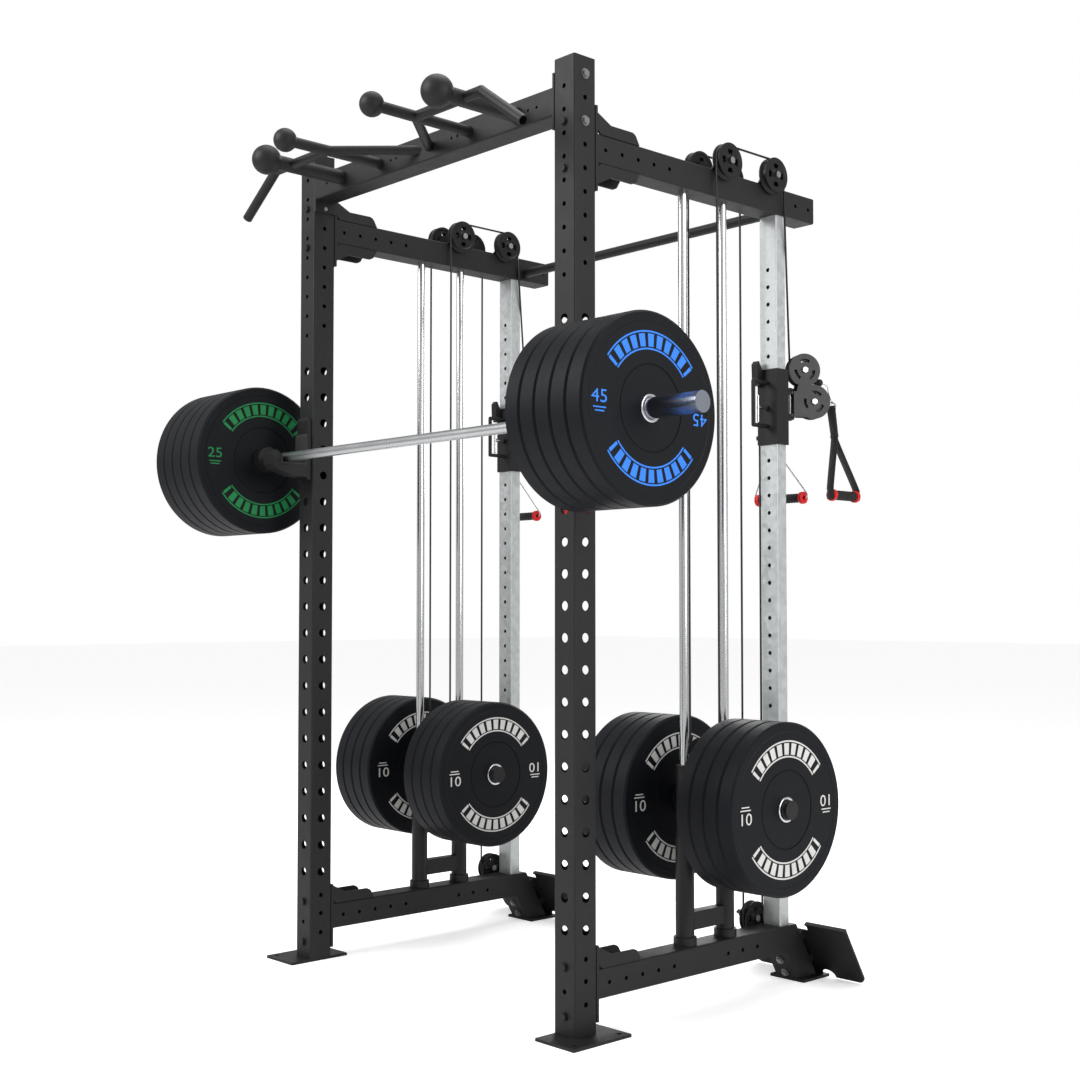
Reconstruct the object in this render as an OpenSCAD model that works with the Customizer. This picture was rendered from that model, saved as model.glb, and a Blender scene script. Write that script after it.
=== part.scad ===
// Power cage: two front uprights, a multi-grip pull-up bar, and on each side a plate-loaded
// cable column. A loaded barbell rests in the J-cups.
// Frame: origin on the floor under the middle of the whole part, +X to the right-hand upright
// seen from the front, +Y from the front uprights to the cable columns, +Z up. Millimetres.

/* [Rack] */
// Height of the uprights above the floor
rack_h = 2450; // [2350:10:2600]
// Width over the outer faces of the two uprights
rack_w = 1220; // [1180:10:1280]
// Side of the square frame tube
tube = 75; // [70:1:80]
// Wall of the square frame tube
tube_t = 3; // [2:0.5:4]
// Depth from the front of the uprights to the rear end of the top beams
top_depth = 975; // [950:5:1100]
// Height of the middle of the bottom beams
low_z = 126; // [115:1:140]
// Corner radius of the frame tube
tube_r = 5; // [2:0.5:7]

/* [Holes] */
// Diameter of the large adjustment holes
big_d = 25; // [20:0.5:27]
// Step between the large holes
big_pitch = 80; // [75:1:100]
// Height of the lowest large hole
big_first = 265; // [260:1:290]
// Diameter of the small upright holes
small_d = 13; // [10:0.5:16]
// Step between the small upright holes
small_pitch = 60; // [50:1:62]
// Diameter of the small holes along the beams
beam_hole_d = 11; // [8:0.5:14]

/* [Plates] */
// Diameter of every weight plate
plate_d = 450; // [400:5:460]
// Thickness of a plate on the barbell
bar_plate_t = 51; // [40:1:55]
// Thickness of a plate on a carriage
car_plate_t = 46; // [35:1:50]
// Number of plates on each end of the barbell
bar_plate_n = 5; // [1:1:6]
// Number of plates on each horn of a carriage
car_plate_n = 4; // [1:1:5]
// Diameter of the barbell sleeves
sleeve_d = 50; // [48:0.1:50.4]
// Diameter of the barbell shaft
shaft_d = 28.5; // [25:0.5:32]
// Overall length of the barbell
bar_len = 2200; // [2100:10:2250]

/* [Cable columns] */
// Width of the trolley column across the rack
col_w = 60; // [52:1:62]
// Depth of the trolley column
col_d = 42; // [38:1:50]
// Distance from the front of the rack to the front of the trolley column
col_y = 808; // [795:1:815]
// Step between the trolley holes
col_pitch = 50; // [40:1:60]
// Diameter of the guide rods
rod_d = 25; // [20:1:28]
// Distance between the two guide rods of one carriage
rod_gap = 164; // [155:1:180]
// Distance from the front of the rack to the middle of the carriage
car_y = 525; // [510:1:530]
// Height of the top of the carriage rest posts
post_top = 430; // [400:1:460]
// Distance from the top of the uprights down to the middle of the trolley
trolley_drop = 814; // [750:1:950]

/* [Pulleys and cable] */
// Diameter of the steel cable
cable_d = 6; // [4:0.5:7]
// Running radius of the cable on the top pulleys
top_rp = 45; // [40:0.5:46]
// Running radius of the cable on the bottom pulleys
low_rp = 42; // [38:0.5:44]
// Thickness of every pulley
sheave_t = 24; // [18:1:25]
// Radial depth of a pulley flange past the running radius
flange_h = 4.5; // [3:0.5:6]
// Diameter of every pulley axle
axle_d = 10; // [8:0.5:12]

/* [Pull-up bar] */
// Diameter of the round grip tubes
grip_d = 30; // [25:1:34]
// Diameter of the large grip balls
ball_big = 84; // [70:1:90]
// Diameter of the small grip balls
ball_small = 65; // [55:1:70]

/* [Hidden] */
$fn = 48;

// Clearances
fit = 0.05;     // radial running fit of a bush or pulley on its shaft
gap = 0.3;      // between faces of pieces that move past each other
slide = 0.4;    // trolley sleeve around its column

// Rack places
trolley_z = rack_h - trolley_drop;
x_out = rack_w / 2;
x_in = x_out - tube;
cx = x_out - tube / 2;
half = tube / 2;
foot_t = 8;                       // base plates and bracket end plates
cross_z = rack_h - 105;           // middle of the pull-up crossmember
top_z = rack_h - 225;             // middle of the top beams
front_small = rack_h - 555;       // lowest small hole in the front face
side_small = front_small + small_pitch / 2;
small_n = floor((rack_h - 40 - side_small) / small_pitch) + 1;
big_n = floor((front_small - 100 - big_first) / big_pitch) + 1;
low_front = [55, 115, 175];       // small holes at the foot of the front face
low_side = [84, 141, 195];        // small holes at the foot of the side faces
beam_y0 = tube + foot_t;          // beams start behind the bracket plates
leg_y = col_y + 64;               // rear edge of the bottom beams at their top
leg_tilt = 30.5;                  // rear legs lean back from vertical
foot_gap = 15;                    // from the rear leg to the foot plate
foot_w = 387;                     // width of the foot plate
foot_notch = half + 18.5;         // half width of the notch at its top
foot_notch_h = 22;
rear_plate_w = 120;               // rear base plates
top_under = top_z - half;
leg_run = tan(leg_tilt);
function leg_pt(z, off) = [leg_y + leg_run * (low_top - z) - tube / cos(leg_tilt) + off, z];
low_top = low_z + half;
plate_r = plate_d / 2;
bolt_d = 12;
head_d = 20;
head_h = 7;
leg_bolt_z = [22, 60];            // bolts in the front face of the rear legs

// Base plates
base_out = 62;                    // overhang past the outer face
base_front = 64;                  // overhang before the front face
base_back = 134;                  // rear edge behind the front face

// Pull-up bar
big_x = 390;                      // large-ball tubes
small_x = 200;                    // small-ball tubes
ball_big_y = 262;                 // centres before the front face
ball_small_y = 323;
stem_d = grip_d + 12;             // large-ball tubes are thicker
thin_d = grip_d - 2;              // transverse and diagonal tubes
cross_grip_y = 182;               // transverse grip before the front face
bend_x = 465;
end_x = 622;
end_drop = 112;
diag_x = 25;
cross_flange = 73;                // half height of the crossmember end plates
cross_holes = [125, 150, 437, 470];
cross_hole_d = 8;

// Pulleys: cable planes stand clear of both sides of the beams
side_off = sheave_t / 2 + 3;
xp_out = x_out + side_off;
xp_in = x_in - side_off;
top_pz = top_z + half + 25;       // height of the top axles
front_py = car_y + top_rp;        // outer and inner front pulleys share it
outer_rear_py = col_y - 38;
inner_rear_py = outer_rear_py - 67;
low_py = inner_rear_py + top_rp + low_rp;
low_pz = low_top + 16.5;
car_rp = (xp_out - xp_in) / 2;    // carriage pulley spans both cable planes
mount_t = 6;

// Carriage
rod_y = [car_y - rod_gap / 2, car_y + rod_gap / 2];
post_d = 50;
bumper_h = 20;
car_z0 = post_top + bumper_h + gap;
bush_d = rod_d + 20;
bush_h = 190;
horn_z = car_z0 + 90;
horn_d = sleeve_d;
car_pz = horn_z + horn_d / 2 + car_rp + 34;
plates_in = 48;                   // carriage middle to inner stack face, past the tube side
plates_out = 59;
stack_out_x = x_out + plates_out;
stack_in_x = x_in - plates_in;
stack_len = car_plate_n * car_plate_t;
horn_over = 16;

// Trolley
sleeve_h = 217;
sleeve_wall = 5;
col_hole_d = 12;
col_top_hole = rack_h - 418;
col_holes = 35;
pin_z = col_top_hole - round((col_top_hole - trolley_z) / col_pitch) * col_pitch;
sl_x = col_w / 2 + slide + sleeve_wall;
sl_y0 = col_y - slide - sleeve_wall;
sl_y1 = col_y + col_d + slide + sleeve_wall;
pin_d = col_hole_d - 1;
trigger_y = col_y - 47;
d_bar_y = col_y - 68;
d_bar_d = 12;
hinge_y = col_y + 99;
hinge_d = 10;
hinge_z = [trolley_z - 28, trolley_z + 62];
lug_t = 8;
head_turn = 30;                   // the swivel head rests turned to the right
sw_rp = 40;                       // running radius of the swivel pulleys
sw_top = [hinge_y + sw_rp, trolley_z + 117];
sw_low = [sw_top[0] + 28.6, sw_top[1] - 92];
cheek_r = sw_rp + 8;
cheek_t = 4;
cheek_x = sheave_t / 2 + 1;
stop_c = [hinge_y + 93.7, trolley_z + 83];
stop_d = 22;
link_end = 131.7;                 // hinge to the ring that carries the strap
strap_dx = link_end * sin(head_turn);
strap_top = [hinge_y + link_end * cos(head_turn), trolley_z + 12];
link_d = 4;
strap_w = 25;
strap_t = 3;
strap_x = [hinge_y + 129, trolley_z - 75];
grip_y = [hinge_y + 117, hinge_y + 217];
grip_z = trolley_z - 245;
grip_ring = 36;
handle_d = 29;
arm_x = xp_in;
bail_top = [col_y + 80, trolley_z - 98];
arm_z = trolley_z - 90;           // underside of the inner arm
eye_d = 6;                        // hinge pin of the wire handle
bail_low = [col_y + 120, trolley_z - 256];
bail_half = 97;
bail_cap = 80;

// Barbell
bar_y = -79;
cup_z = 1500;                     // top of the J-cup liners
bar_z = cup_z + gap + shaft_d / 2;
cup_hole = big_first + round((cup_z - 35 - big_first) / big_pitch) * big_pitch;
collar_x = x_out + 45;            // collar of the bar past the upright
collar_t = 35;
spigot_d = 24;
bar_half = bar_len / 2;

// Origin under the middle of the part
front_reach = ball_small_y + ball_small / 2;
back_reach = grip_y[1] + 15;
mid_y = (back_reach - front_reach) / 2;

module place() { translate([0, -mid_y, 0]) children(); }
module side(s) { mirror([s < 0 ? 1 : 0, 0, 0]) children(); }
module both() { for (s = [-1, 1]) side(s) children(); }
// The two cable columns are alike, not mirrored
module at_column(s) { translate([s < 0 ? -2 * cx : 0, 0, 0]) children(); }
module columns() { for (s = [-1, 1]) at_column(s) children(); }
// Swivel head, turned about its hinge
module head(s) {
    at_column(s) translate([cx, hinge_y, 0]) rotate([0, 0, -head_turn])
        translate([-cx, -hinge_y, 0]) children();
}

// Round bar from one point to another
module rod(a, b, d) {
    v = b - a;
    l = norm(v);
    translate(a) rotate([0, acos(v[2] / l), atan2(v[1], v[0])]) cylinder(d = d, h = l);
}
module along_x(d, l) { rotate([0, 90, 0]) cylinder(d = d, h = l); }
module along_y(d, l) { rotate([-90, 0, 0]) cylinder(d = d, h = l); }
// Outline drawn in the Y-Z plane, thick along X and centred on x
module yz(x, t) { translate([x - t / 2, 0, 0]) rotate([90, 0, 90]) linear_extrude(t) children(); }

module round_bar_2d(w, d, r) {
    square([w - 2 * r, d], center = true);
    square([w, d - 2 * r], center = true);
    for (i = [-1, 1], j = [-1, 1]) translate([i * (w / 2 - r), j * (d / 2 - r)]) circle(r);
}
// Upright or beam section
module tube_2d(w = tube, d = tube, t = tube_t, r = tube_r) {
    difference() {
        round_bar_2d(w, d, r);
        round_bar_2d(w - 2 * t, d - 2 * t, r - t / 2 > 0.6 ? r - t / 2 : 0.6);
    }
}

// ---- Frame ----
module upright() {
    difference() {
        union() {
            translate([cx, half, foot_t]) linear_extrude(rack_h - foot_t - 3) tube_2d();
            translate([x_in, -base_front, 0])
                cube([tube + base_out, base_front + base_back, foot_t]);
        }
        for (k = [0 : big_n - 1]) translate([cx, 0, big_first + k * big_pitch]) {
            translate([0, -1, 0]) along_y(big_d, tube + 2);
            translate([-half - 1, half, 0]) along_x(big_d, tube + 2);
        }
        for (k = [0 : small_n - 1]) {
            translate([cx, -1, front_small + k * small_pitch]) along_y(small_d, tube + 2);
            translate([x_in - 1, half, side_small + k * small_pitch]) along_x(small_d, tube + 2);
        }
        for (z = low_front) translate([cx, -1, z]) along_y(small_d, tube + 2);
        for (z = low_side) translate([x_in - 1, half, z]) along_x(small_d, tube + 2);
        for (k = [-1, 1]) translate([cx, -1, top_z + k * small_pitch])
            along_y(bolt_d + 0.6, tube + 2);
        for (k = [-1, 1]) translate([x_in - 1, half, cross_z + k * small_pitch])
            along_x(bolt_d + 0.6, tube + 2);
        for (y = [-base_front + 22, base_back - 22])
            translate([x_out + base_out - 22, y, -1]) cylinder(d = 14, h = foot_t + 2);
    }
    translate([cx, half, rack_h - 3]) linear_extrude(3) round_bar_2d(tube, tube, tube_r);
}
module uprights() { color([0.17, 0.17, 0.17]) place() both() upright(); }

module crossmember() {
    difference() {
        translate([-x_in + mount_t, half, cross_z]) rotate([90, 0, 90])
            linear_extrude(2 * (x_in - mount_t)) tube_2d();
        both() for (x = cross_holes) translate([x, -1, cross_z]) along_y(cross_hole_d, tube_t + 2);
    }
    both() difference() {
        translate([x_in - mount_t, 0, cross_z - cross_flange]) cube([mount_t, tube, 2 * cross_flange]);
        for (k = [-1, 1]) translate([x_in - mount_t - 1, half, cross_z + k * small_pitch])
            along_x(bolt_d + 0.6, mount_t + 2);
    }
}
// Grip tubes and balls of one side, welded to the front of the crossmember
module grips() {
    z = cross_z;
    down = [end_x - bend_x, 0, -end_drop];
    bend = [bend_x, -cross_grip_y, z];
    difference() {
        union() {
            rod([big_x, 0, z], [big_x, -ball_big_y, z], stem_d);
            rod([small_x, 0, z], [small_x, -ball_small_y, z], grip_d);
            rod([small_x + 4, -cross_grip_y, z], bend, thin_d);
            translate(bend) sphere(d = thin_d + 1);
            rod(bend, bend + down, thin_d);
            rod([small_x - 3, 3 - cross_grip_y, z], [diag_x - 20, 21, z], thin_d - 1);
        }
        translate([-60, 0, z - half]) cube([big_x * 2, tube, tube]);
        rod(bend + down * 0.8, bend + down * 1.1, thin_d - 5);
    }
    translate([big_x, -ball_big_y, z]) sphere(d = ball_big, $fn = 64);
    translate([small_x, -ball_small_y, z]) sphere(d = ball_small, $fn = 64);
}
module pull_up_bar() {
    color([0.17, 0.17, 0.17]) place() {
        crossmember();
        both() grips();
    }
}

module beam(len, zc, holes) {
    difference() {
        translate([cx, beam_y0 + len, zc]) rotate([90, 0, 0]) linear_extrude(len) tube_2d();
        for (y = holes) translate([x_in - 1, y, zc]) along_x(beam_hole_d, tube + 2);
    }
}
module side_beams() {
    top_holes = [for (k = [0 : 4]) beam_y0 + 28 + 60 * k, top_depth - 85, top_depth - 25];
    low_holes = [for (k = [0 : 4]) beam_y0 + 37 + 60 * k, leg_y - 296, leg_y - 235, leg_y - 173];
    color([0.17, 0.17, 0.17]) place() both() {
        beam(top_depth - 3 - beam_y0, top_z, top_holes);
        translate([cx, top_depth, top_z]) rotate([90, 0, 0])
            linear_extrude(3) round_bar_2d(tube, tube, tube_r);
        difference() {
            beam(leg_y + 20 - beam_y0, low_z, low_holes);
            yz(cx, tube + 2) polygon([leg_pt(low_top + 10, 0), leg_pt(low_top + 10, 200),
                leg_pt(low_z - half - 10, 200), leg_pt(low_z - half - 10, 0)]);
        }
    }
}

// Gusset that stands on a beam behind its end plate, with its inner corner cut off
module wing_2d() {
    polygon([[0, 10], [0, 54], [48, 30], [127, 30], [136, 26], [140, 22], [153, 0], [12, 0]]);
}
module bracket(zc, up, down, bolt_z, wings) {
    difference() {
        translate([x_in, tube, zc - half - down]) cube([tube, foot_t, tube + up + down]);
        for (z = bolt_z) translate([cx, tube - 1, z]) along_y(bolt_d + 0.6, foot_t + 2);
    }
    for (x = [x_in + 3, x_out - 3], w = wings)
        translate([0, beam_y0, zc + w * half]) mirror([0, 0, w < 0 ? 1 : 0]) yz(x, mount_t) wing_2d();
}
module beam_brackets() {
    color([0.17, 0.17, 0.17]) place() both() {
        bracket(top_z, 72, 72, [top_z - small_pitch, top_z + small_pitch], [-1, 1]);
        bracket(low_z, 58, 55, [low_front[0], low_front[2]], [1]);
    }
}

module rear_cross_tube() {
    y = col_y + 52;
    z = top_z - 14;
    color([0.15, 0.15, 0.15]) place() {
        translate([-x_in, y, z]) along_x(30, 2 * x_in);
        both() translate([x_in - mount_t, y, z]) intersection() {
            along_x(56, mount_t);
            translate([0, -28, -25.5]) cube([mount_t, 56, 50]);
        }
    }
}

module trolley_columns() {
    color([0.8, 0.82, 0.82]) place() both() difference() {
        translate([cx, col_y + col_d / 2, low_top]) linear_extrude(top_under - low_top)
            tube_2d(col_w, col_d, 2.5, 3);
        for (k = [0 : col_holes - 1]) if (col_top_hole - k * col_pitch > low_top + 80)
            translate([cx, col_y - 1, col_top_hole - k * col_pitch]) along_y(col_hole_d, 6);
    }
}

module guide_rods() {
    color([0.85, 0.86, 0.87]) place() both() for (y = rod_y)
        translate([cx, y, low_top]) cylinder(d = rod_d, h = top_under - low_top);
}

// Rest posts around the foot of the guide rods, their brace and rubber rings
module carriage_posts() {
    bore = rod_d + 0.8;
    color([0.12, 0.12, 0.12]) place() both() {
        difference() {
            union() {
                for (y = rod_y) translate([cx, y, low_top]) {
                    cylinder(d = post_d, h = post_top - low_top);
                    cylinder(d = post_d + 12, h = 22);
                }
                translate([cx - 15, rod_y[0], low_top + 38]) cube([30, rod_gap, 48]);
            }
            for (y = rod_y) translate([cx, y, low_top - 1]) cylinder(d = bore, h = post_top);
        }
        for (y = rod_y) translate([cx, y, post_top]) difference() {
            cylinder(d = post_d - 2, h = bumper_h);
            translate([0, 0, -1]) cylinder(d = bore, h = bumper_h + 2);
        }
    }
}

// Leaning rear leg on its own base plate, mitred to the end of the bottom beam
module rear_legs() {
    wide = tube / cos(leg_tilt);
    up = low_top;
    color([0.16, 0.16, 0.16]) place() both() {
        difference() {
            yz(cx, tube) polygon([leg_pt(up, 0), leg_pt(up, wide), leg_pt(foot_t, wide),
                leg_pt(foot_t, 0)]);
            yz(cx, tube - 2 * tube_t) polygon([leg_pt(up - tube_t, tube_t),
                leg_pt(up - tube_t, wide - tube_t), leg_pt(foot_t - 1, wide - tube_t),
                leg_pt(foot_t - 1, tube_t)]);
            for (z = leg_bolt_z) leg_face(z) translate([0, 0, -tube_t - 2])
                cylinder(d = bolt_d + 0.6, h = tube_t + 4);
        }
        translate([cx - rear_plate_w / 2, leg_y + 4, 0]) difference() {
            cube([rear_plate_w, rear_plate_w, foot_t]);
            translate([rear_plate_w / 2, rear_plate_w - 12, -1]) cylinder(d = 14, h = foot_t + 2);
        }
    }
}
// Frame on the front face of a rear leg at height z, facing out
module leg_face(z) {
    p = leg_pt(z, 0);
    translate([cx, p[0], p[1]]) rotate([90 + leg_tilt, 0, 0]) children();
}
// Inclined foot plate behind a rear leg: turned lip, round corners, relief cuts beside the leg,
// notch at its top and a cut over the base plate
module foot_plate() {
    long = (low_top + 2) / cos(leg_tilt);
    p = leg_pt(low_top + 2, tube / cos(leg_tilt) + foot_gap / cos(leg_tilt));
    r = 20;
    cut = 24;
    w = foot_w / 2;
    difference() {
        translate([cx, p[0], p[1]]) rotate([leg_tilt, 0, 0]) {
            translate([0, mount_t, -long + 4]) rotate([90, 0, 0]) linear_extrude(mount_t) difference() {
                union() {
                    translate([-w, r]) square([foot_w, long - r - 4]);
                    translate([r - w, 0]) square([foot_w - 2 * r, long - r]);
                    for (i = [-1, 1]) translate([i * (w - r), r]) circle(r);
                }
                for (i = [-1, 1]) translate([i * (half + cut + 8), 0]) circle(cut);
            }
            translate([-w, mount_t - 11, -mount_t]) cube([foot_w, 12, mount_t]);
            translate([-half, 0.05 - foot_gap, 60 - long]) cube([tube, foot_gap, 24]);
            translate([-half, 0.05 - foot_gap, -52]) cube([tube, foot_gap, 24]);
        }
        translate([cx - foot_notch, leg_y - 20, low_top + 2 - foot_notch_h])
            cube([2 * foot_notch, 100, foot_notch_h + 10]);
        translate([cx - rear_plate_w / 2 - 1, leg_y - 20, -1])
            cube([rear_plate_w + 2, 240, foot_t + 1 + gap]);
    }
}
module foot_plates() {
    color([0.14, 0.14, 0.14]) place() both() foot_plate();
}

// Upright plate and axle for one pulley; w is the direction in which the pulley stands
module pulley_mount(y, z, base_z, x, w) {
    yz(x - w * mount_t / 2, mount_t) difference() {
        union() {
            polygon([[y - 46, base_z], [y - 17, z + 10], [y + 17, z + 10], [y + 46, base_z]]);
            translate([y, z]) circle(20);
        }
        translate([y - 60, base_z - 60]) square([120, 60]);
    }
    far = side_off + sheave_t / 2 + 1;
    translate([x, y, z]) rotate([0, 90 * w, 0]) {
        translate([0, 0, -2]) cylinder(d = axle_d, h = far + 4);
        cylinder(d = axle_d + 10, h = side_off - sheave_t / 2 - 1);
        translate([0, 0, far]) cylinder(d = head_d, h = head_h, $fn = 6);
    }
}
// Shelf on the inner face of a bottom beam and an upright plate on the far side of the pulley
module low_mount() {
    far = sheave_t / 2 + 1 + mount_t / 2;
    x = xp_in - far;
    base = low_pz - low_rp - flange_h - 15;
    yz(x, mount_t) union() {
        polygon([[low_py - 36, base], [low_py - 17, low_pz + 10], [low_py + 17, low_pz + 10],
            [low_py + 36, base]]);
        translate([low_py, low_pz]) circle(20);
    }
    translate([x - mount_t / 2, low_py - 36, base]) cube([x_in - x + mount_t / 2, 72, mount_t]);
    translate([x, low_py, low_pz]) rotate([0, 90, 0]) {
        translate([0, 0, -mount_t / 2 - 4]) cylinder(d = axle_d, h = far + sheave_t / 2 + 9);
        cylinder(d = axle_d + 10, h = mount_t / 2 + 0.7);
        translate([0, 0, far + sheave_t / 2 + 1]) cylinder(d = head_d, h = head_h, $fn = 6);
    }
}
module pulley_mounts() {
    color([0.16, 0.16, 0.16]) place() columns() {
        pulley_mount(front_py, top_pz, top_z + half, x_out, 1);
        pulley_mount(outer_rear_py, top_pz, top_z + half, x_out, 1);
        pulley_mount(front_py, top_pz, top_z + half, x_in, -1);
        pulley_mount(inner_rear_py, top_pz, top_z + half, x_in, -1);
        low_mount();
    }
}

// Hex bolt whose head stands on a face; the shank runs the other way
module bolt_y(x, y, z, l) {
    translate([x, y, z]) {
        rotate([90, 0, 0]) cylinder(d = head_d, h = head_h, $fn = 6);
        rotate([90, 0, 0]) cylinder(d = head_d + 6, h = 1.5);
        along_y(bolt_d, l);
    }
}
module bolt_x(x, y, z, l, w) {
    translate([x, y, z]) rotate([0, 90 * w, 0]) {
        cylinder(d = head_d, h = head_h, $fn = 6);
        cylinder(d = head_d + 6, h = 1.5);
        translate([0, 0, -l]) cylinder(d = bolt_d, h = l);
    }
}
module nut_y(x, y, z) {
    translate([x, y, z]) rotate([-90, 0, 0]) cylinder(d = head_d, h = head_h + 2, $fn = 6);
}
module frame_bolts() {
    color([0.7, 0.7, 0.72]) place() both() {
        for (z = [top_z - small_pitch, top_z + small_pitch, low_front[0], low_front[2]]) {
            bolt_y(cx, 0, z, beam_y0);
            nut_y(cx, beam_y0, z);
        }
        for (k = [-1, 1]) bolt_x(x_out, half, cross_z + k * small_pitch, tube + mount_t, 1);
        for (z = leg_bolt_z) leg_face(z) {
            cylinder(d = head_d - 2, h = head_h, $fn = 6);
            cylinder(d = head_d + 4, h = 1.5);
            translate([0, 0, -20]) cylinder(d = bolt_d, h = 20);
        }
    }
}

// J-cup hooked to the front of an upright
module cup_2d() {
    polygon([[0, cup_z - 50], [0, cup_z + 130], [-10, cup_z + 140], [-14, cup_z + 130],
        [-14, cup_z - 6], [-108, cup_z - 6], [-108, cup_z + 24], [-124, cup_z + 34],
        [-134, cup_z + 20], [-134, cup_z - 8], [-122, cup_z - 22], [-62, cup_z - 40],
        [-16, cup_z - 42], [-14, cup_z - 50]]);
}
module j_cups() {
    color([0.13, 0.13, 0.13]) place() both() {
        yz(cx, 56) cup_2d();
        translate([cx, -1, cup_hole]) along_y(big_d - 1, tube + 1);
    }
}
module j_cup_liners() {
    color([0.22, 0.22, 0.22]) place() both() yz(cx, 58) polygon([[-14, cup_z + 90],
        [-20, cup_z + 84], [-20, cup_z], [-102, cup_z], [-102, cup_z + 22], [-108, cup_z + 24],
        [-108, cup_z - 6], [-14, cup_z - 6]]);
}

// ---- Cable runs ----
// Arc of cable in the Y-Z plane around (y, z), from angle a over sweep b
module arc_yz(x, y, z, r, a, b) {
    translate([x, y, z]) rotate([90, 0, 90]) rotate([0, 0, a])
        rotate_extrude(angle = b) translate([r, 0]) circle(d = cable_d, $fn = 16);
}
module frame_cables() {
    color([0.2, 0.2, 0.2]) place() columns() {
        arc_yz(xp_out, front_py, top_pz, top_rp, 90, 90);
        rod([xp_out, front_py, top_pz + top_rp], [xp_out, outer_rear_py, top_pz + top_rp], cable_d);
        arc_yz(xp_out, outer_rear_py, top_pz, top_rp, 0, 90);
        arc_yz(xp_in, front_py, top_pz, top_rp, 90, 90);
        rod([xp_in, front_py, top_pz + top_rp], [xp_in, inner_rear_py, top_pz + top_rp], cable_d);
        arc_yz(xp_in, inner_rear_py, top_pz, top_rp, 0, 90);
        rod([xp_in, inner_rear_py + top_rp, top_pz], [xp_in, low_py - low_rp, low_pz], cable_d);
        arc_yz(xp_in, low_py, low_pz, low_rp, 180, 180);
    }
}
module carriage_cable(s) {
    color([0.2, 0.2, 0.2]) place() at_column(s) {
        rod([xp_out, car_y, car_pz], [xp_out, car_y, top_pz], cable_d);
        rod([xp_in, car_y, car_pz], [xp_in, car_y, top_pz], cable_d);
        translate([cx, car_y, car_pz]) rotate([-90, 0, 0])
            rotate_extrude(angle = 180) translate([car_rp, 0]) circle(d = cable_d, $fn = 16);
    }
}
module carriage_cable_left() { carriage_cable(-1); }
module carriage_cable_right() { carriage_cable(1); }
module trolley_cable_upper(s) {
    a = [xp_out, outer_rear_py + top_rp, top_pz];
    b = [cx, hinge_y, sw_top[1]];
    v = (b - a) / norm(b - a);
    color([0.2, 0.2, 0.2]) place() at_column(s) rod(a + 2 * gap * v, b - 2 * gap * v, cable_d);
}
module trolley_cable_upper_left() { trolley_cable_upper(-1); }
module trolley_cable_upper_right() { trolley_cable_upper(1); }
module trolley_cable_lower(s) {
    color([0.2, 0.2, 0.2]) place() at_column(s)
        rod([xp_in, low_py + low_rp, low_pz], [xp_in, low_py + low_rp, arm_z], cable_d);
}
module trolley_cable_lower_left() { trolley_cable_lower(-1); }
module trolley_cable_lower_right() { trolley_cable_lower(1); }

// ---- Pulleys ----
// Grooved wheel along Z, centred, with a plain bore and four openings in its web
module sheave(rp) {
    ro = rp + flange_h;
    rb = rp - cable_d / 2 - gap;
    t = sheave_t / 2;
    slot_r = (rb + axle_d) / 2;
    slot_w = 0.55 * (rb - axle_d - 8);
    difference() {
        rotate_extrude($fn = 72) polygon([[axle_d / 2 + fit, -t], [axle_d / 2 + fit, t],
            [axle_d + 3, t], [axle_d + 5, t - 2], [rb - 3, t - 2], [rb, t], [ro, t], [ro, t - 3],
            [rb + 1.5, 4], [rb, 2.5], [rb, -2.5], [rb + 1.5, -4], [ro, 3 - t], [ro, -t],
            [rb, -t], [rb - 3, 2 - t], [axle_d + 5, 2 - t], [axle_d + 3, -t]]);
        for (a = [0 : 90 : 270]) rotate([0, 0, a - 20]) translate([0, 0, -t - 1])
            rotate_extrude(angle = 40, $fn = 72) translate([slot_r - slot_w / 2, 0])
                square([slot_w, 2 * t + 2]);
    }
}
module sheave_x(s, x, y, z, rp) {
    color([0.12, 0.12, 0.12]) place() at_column(s) translate([x, y, z]) rotate([0, 90, 0]) sheave(rp);
}
module sheave_head(s, p) {
    color([0.12, 0.12, 0.12]) place() head(s) translate([cx, p[0], p[1]]) rotate([0, 90, 0])
        sheave(sw_rp);
}
module pulley_outer_front_left() { sheave_x(-1, xp_out, front_py, top_pz, top_rp); }
module pulley_outer_front_right() { sheave_x(1, xp_out, front_py, top_pz, top_rp); }
module pulley_outer_rear_left() { sheave_x(-1, xp_out, outer_rear_py, top_pz, top_rp); }
module pulley_outer_rear_right() { sheave_x(1, xp_out, outer_rear_py, top_pz, top_rp); }
module pulley_inner_front_left() { sheave_x(-1, xp_in, front_py, top_pz, top_rp); }
module pulley_inner_front_right() { sheave_x(1, xp_in, front_py, top_pz, top_rp); }
module pulley_inner_rear_left() { sheave_x(-1, xp_in, inner_rear_py, top_pz, top_rp); }
module pulley_inner_rear_right() { sheave_x(1, xp_in, inner_rear_py, top_pz, top_rp); }
module pulley_low_left() { sheave_x(-1, xp_in, low_py, low_pz, low_rp); }
module pulley_low_right() { sheave_x(1, xp_in, low_py, low_pz, low_rp); }
module pulley_swivel_top_left() { sheave_head(-1, sw_top); }
module pulley_swivel_top_right() { sheave_head(1, sw_top); }
module pulley_swivel_low_left() { sheave_head(-1, sw_low); }
module pulley_swivel_low_right() { sheave_head(1, sw_low); }
module pulley_carriage(s) {
    color([0.12, 0.12, 0.12]) place() at_column(s) translate([cx, car_y, car_pz]) rotate([90, 0, 0])
        sheave(car_rp);
}
module pulley_carriage_left() { pulley_carriage(-1); }
module pulley_carriage_right() { pulley_carriage(1); }

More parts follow.
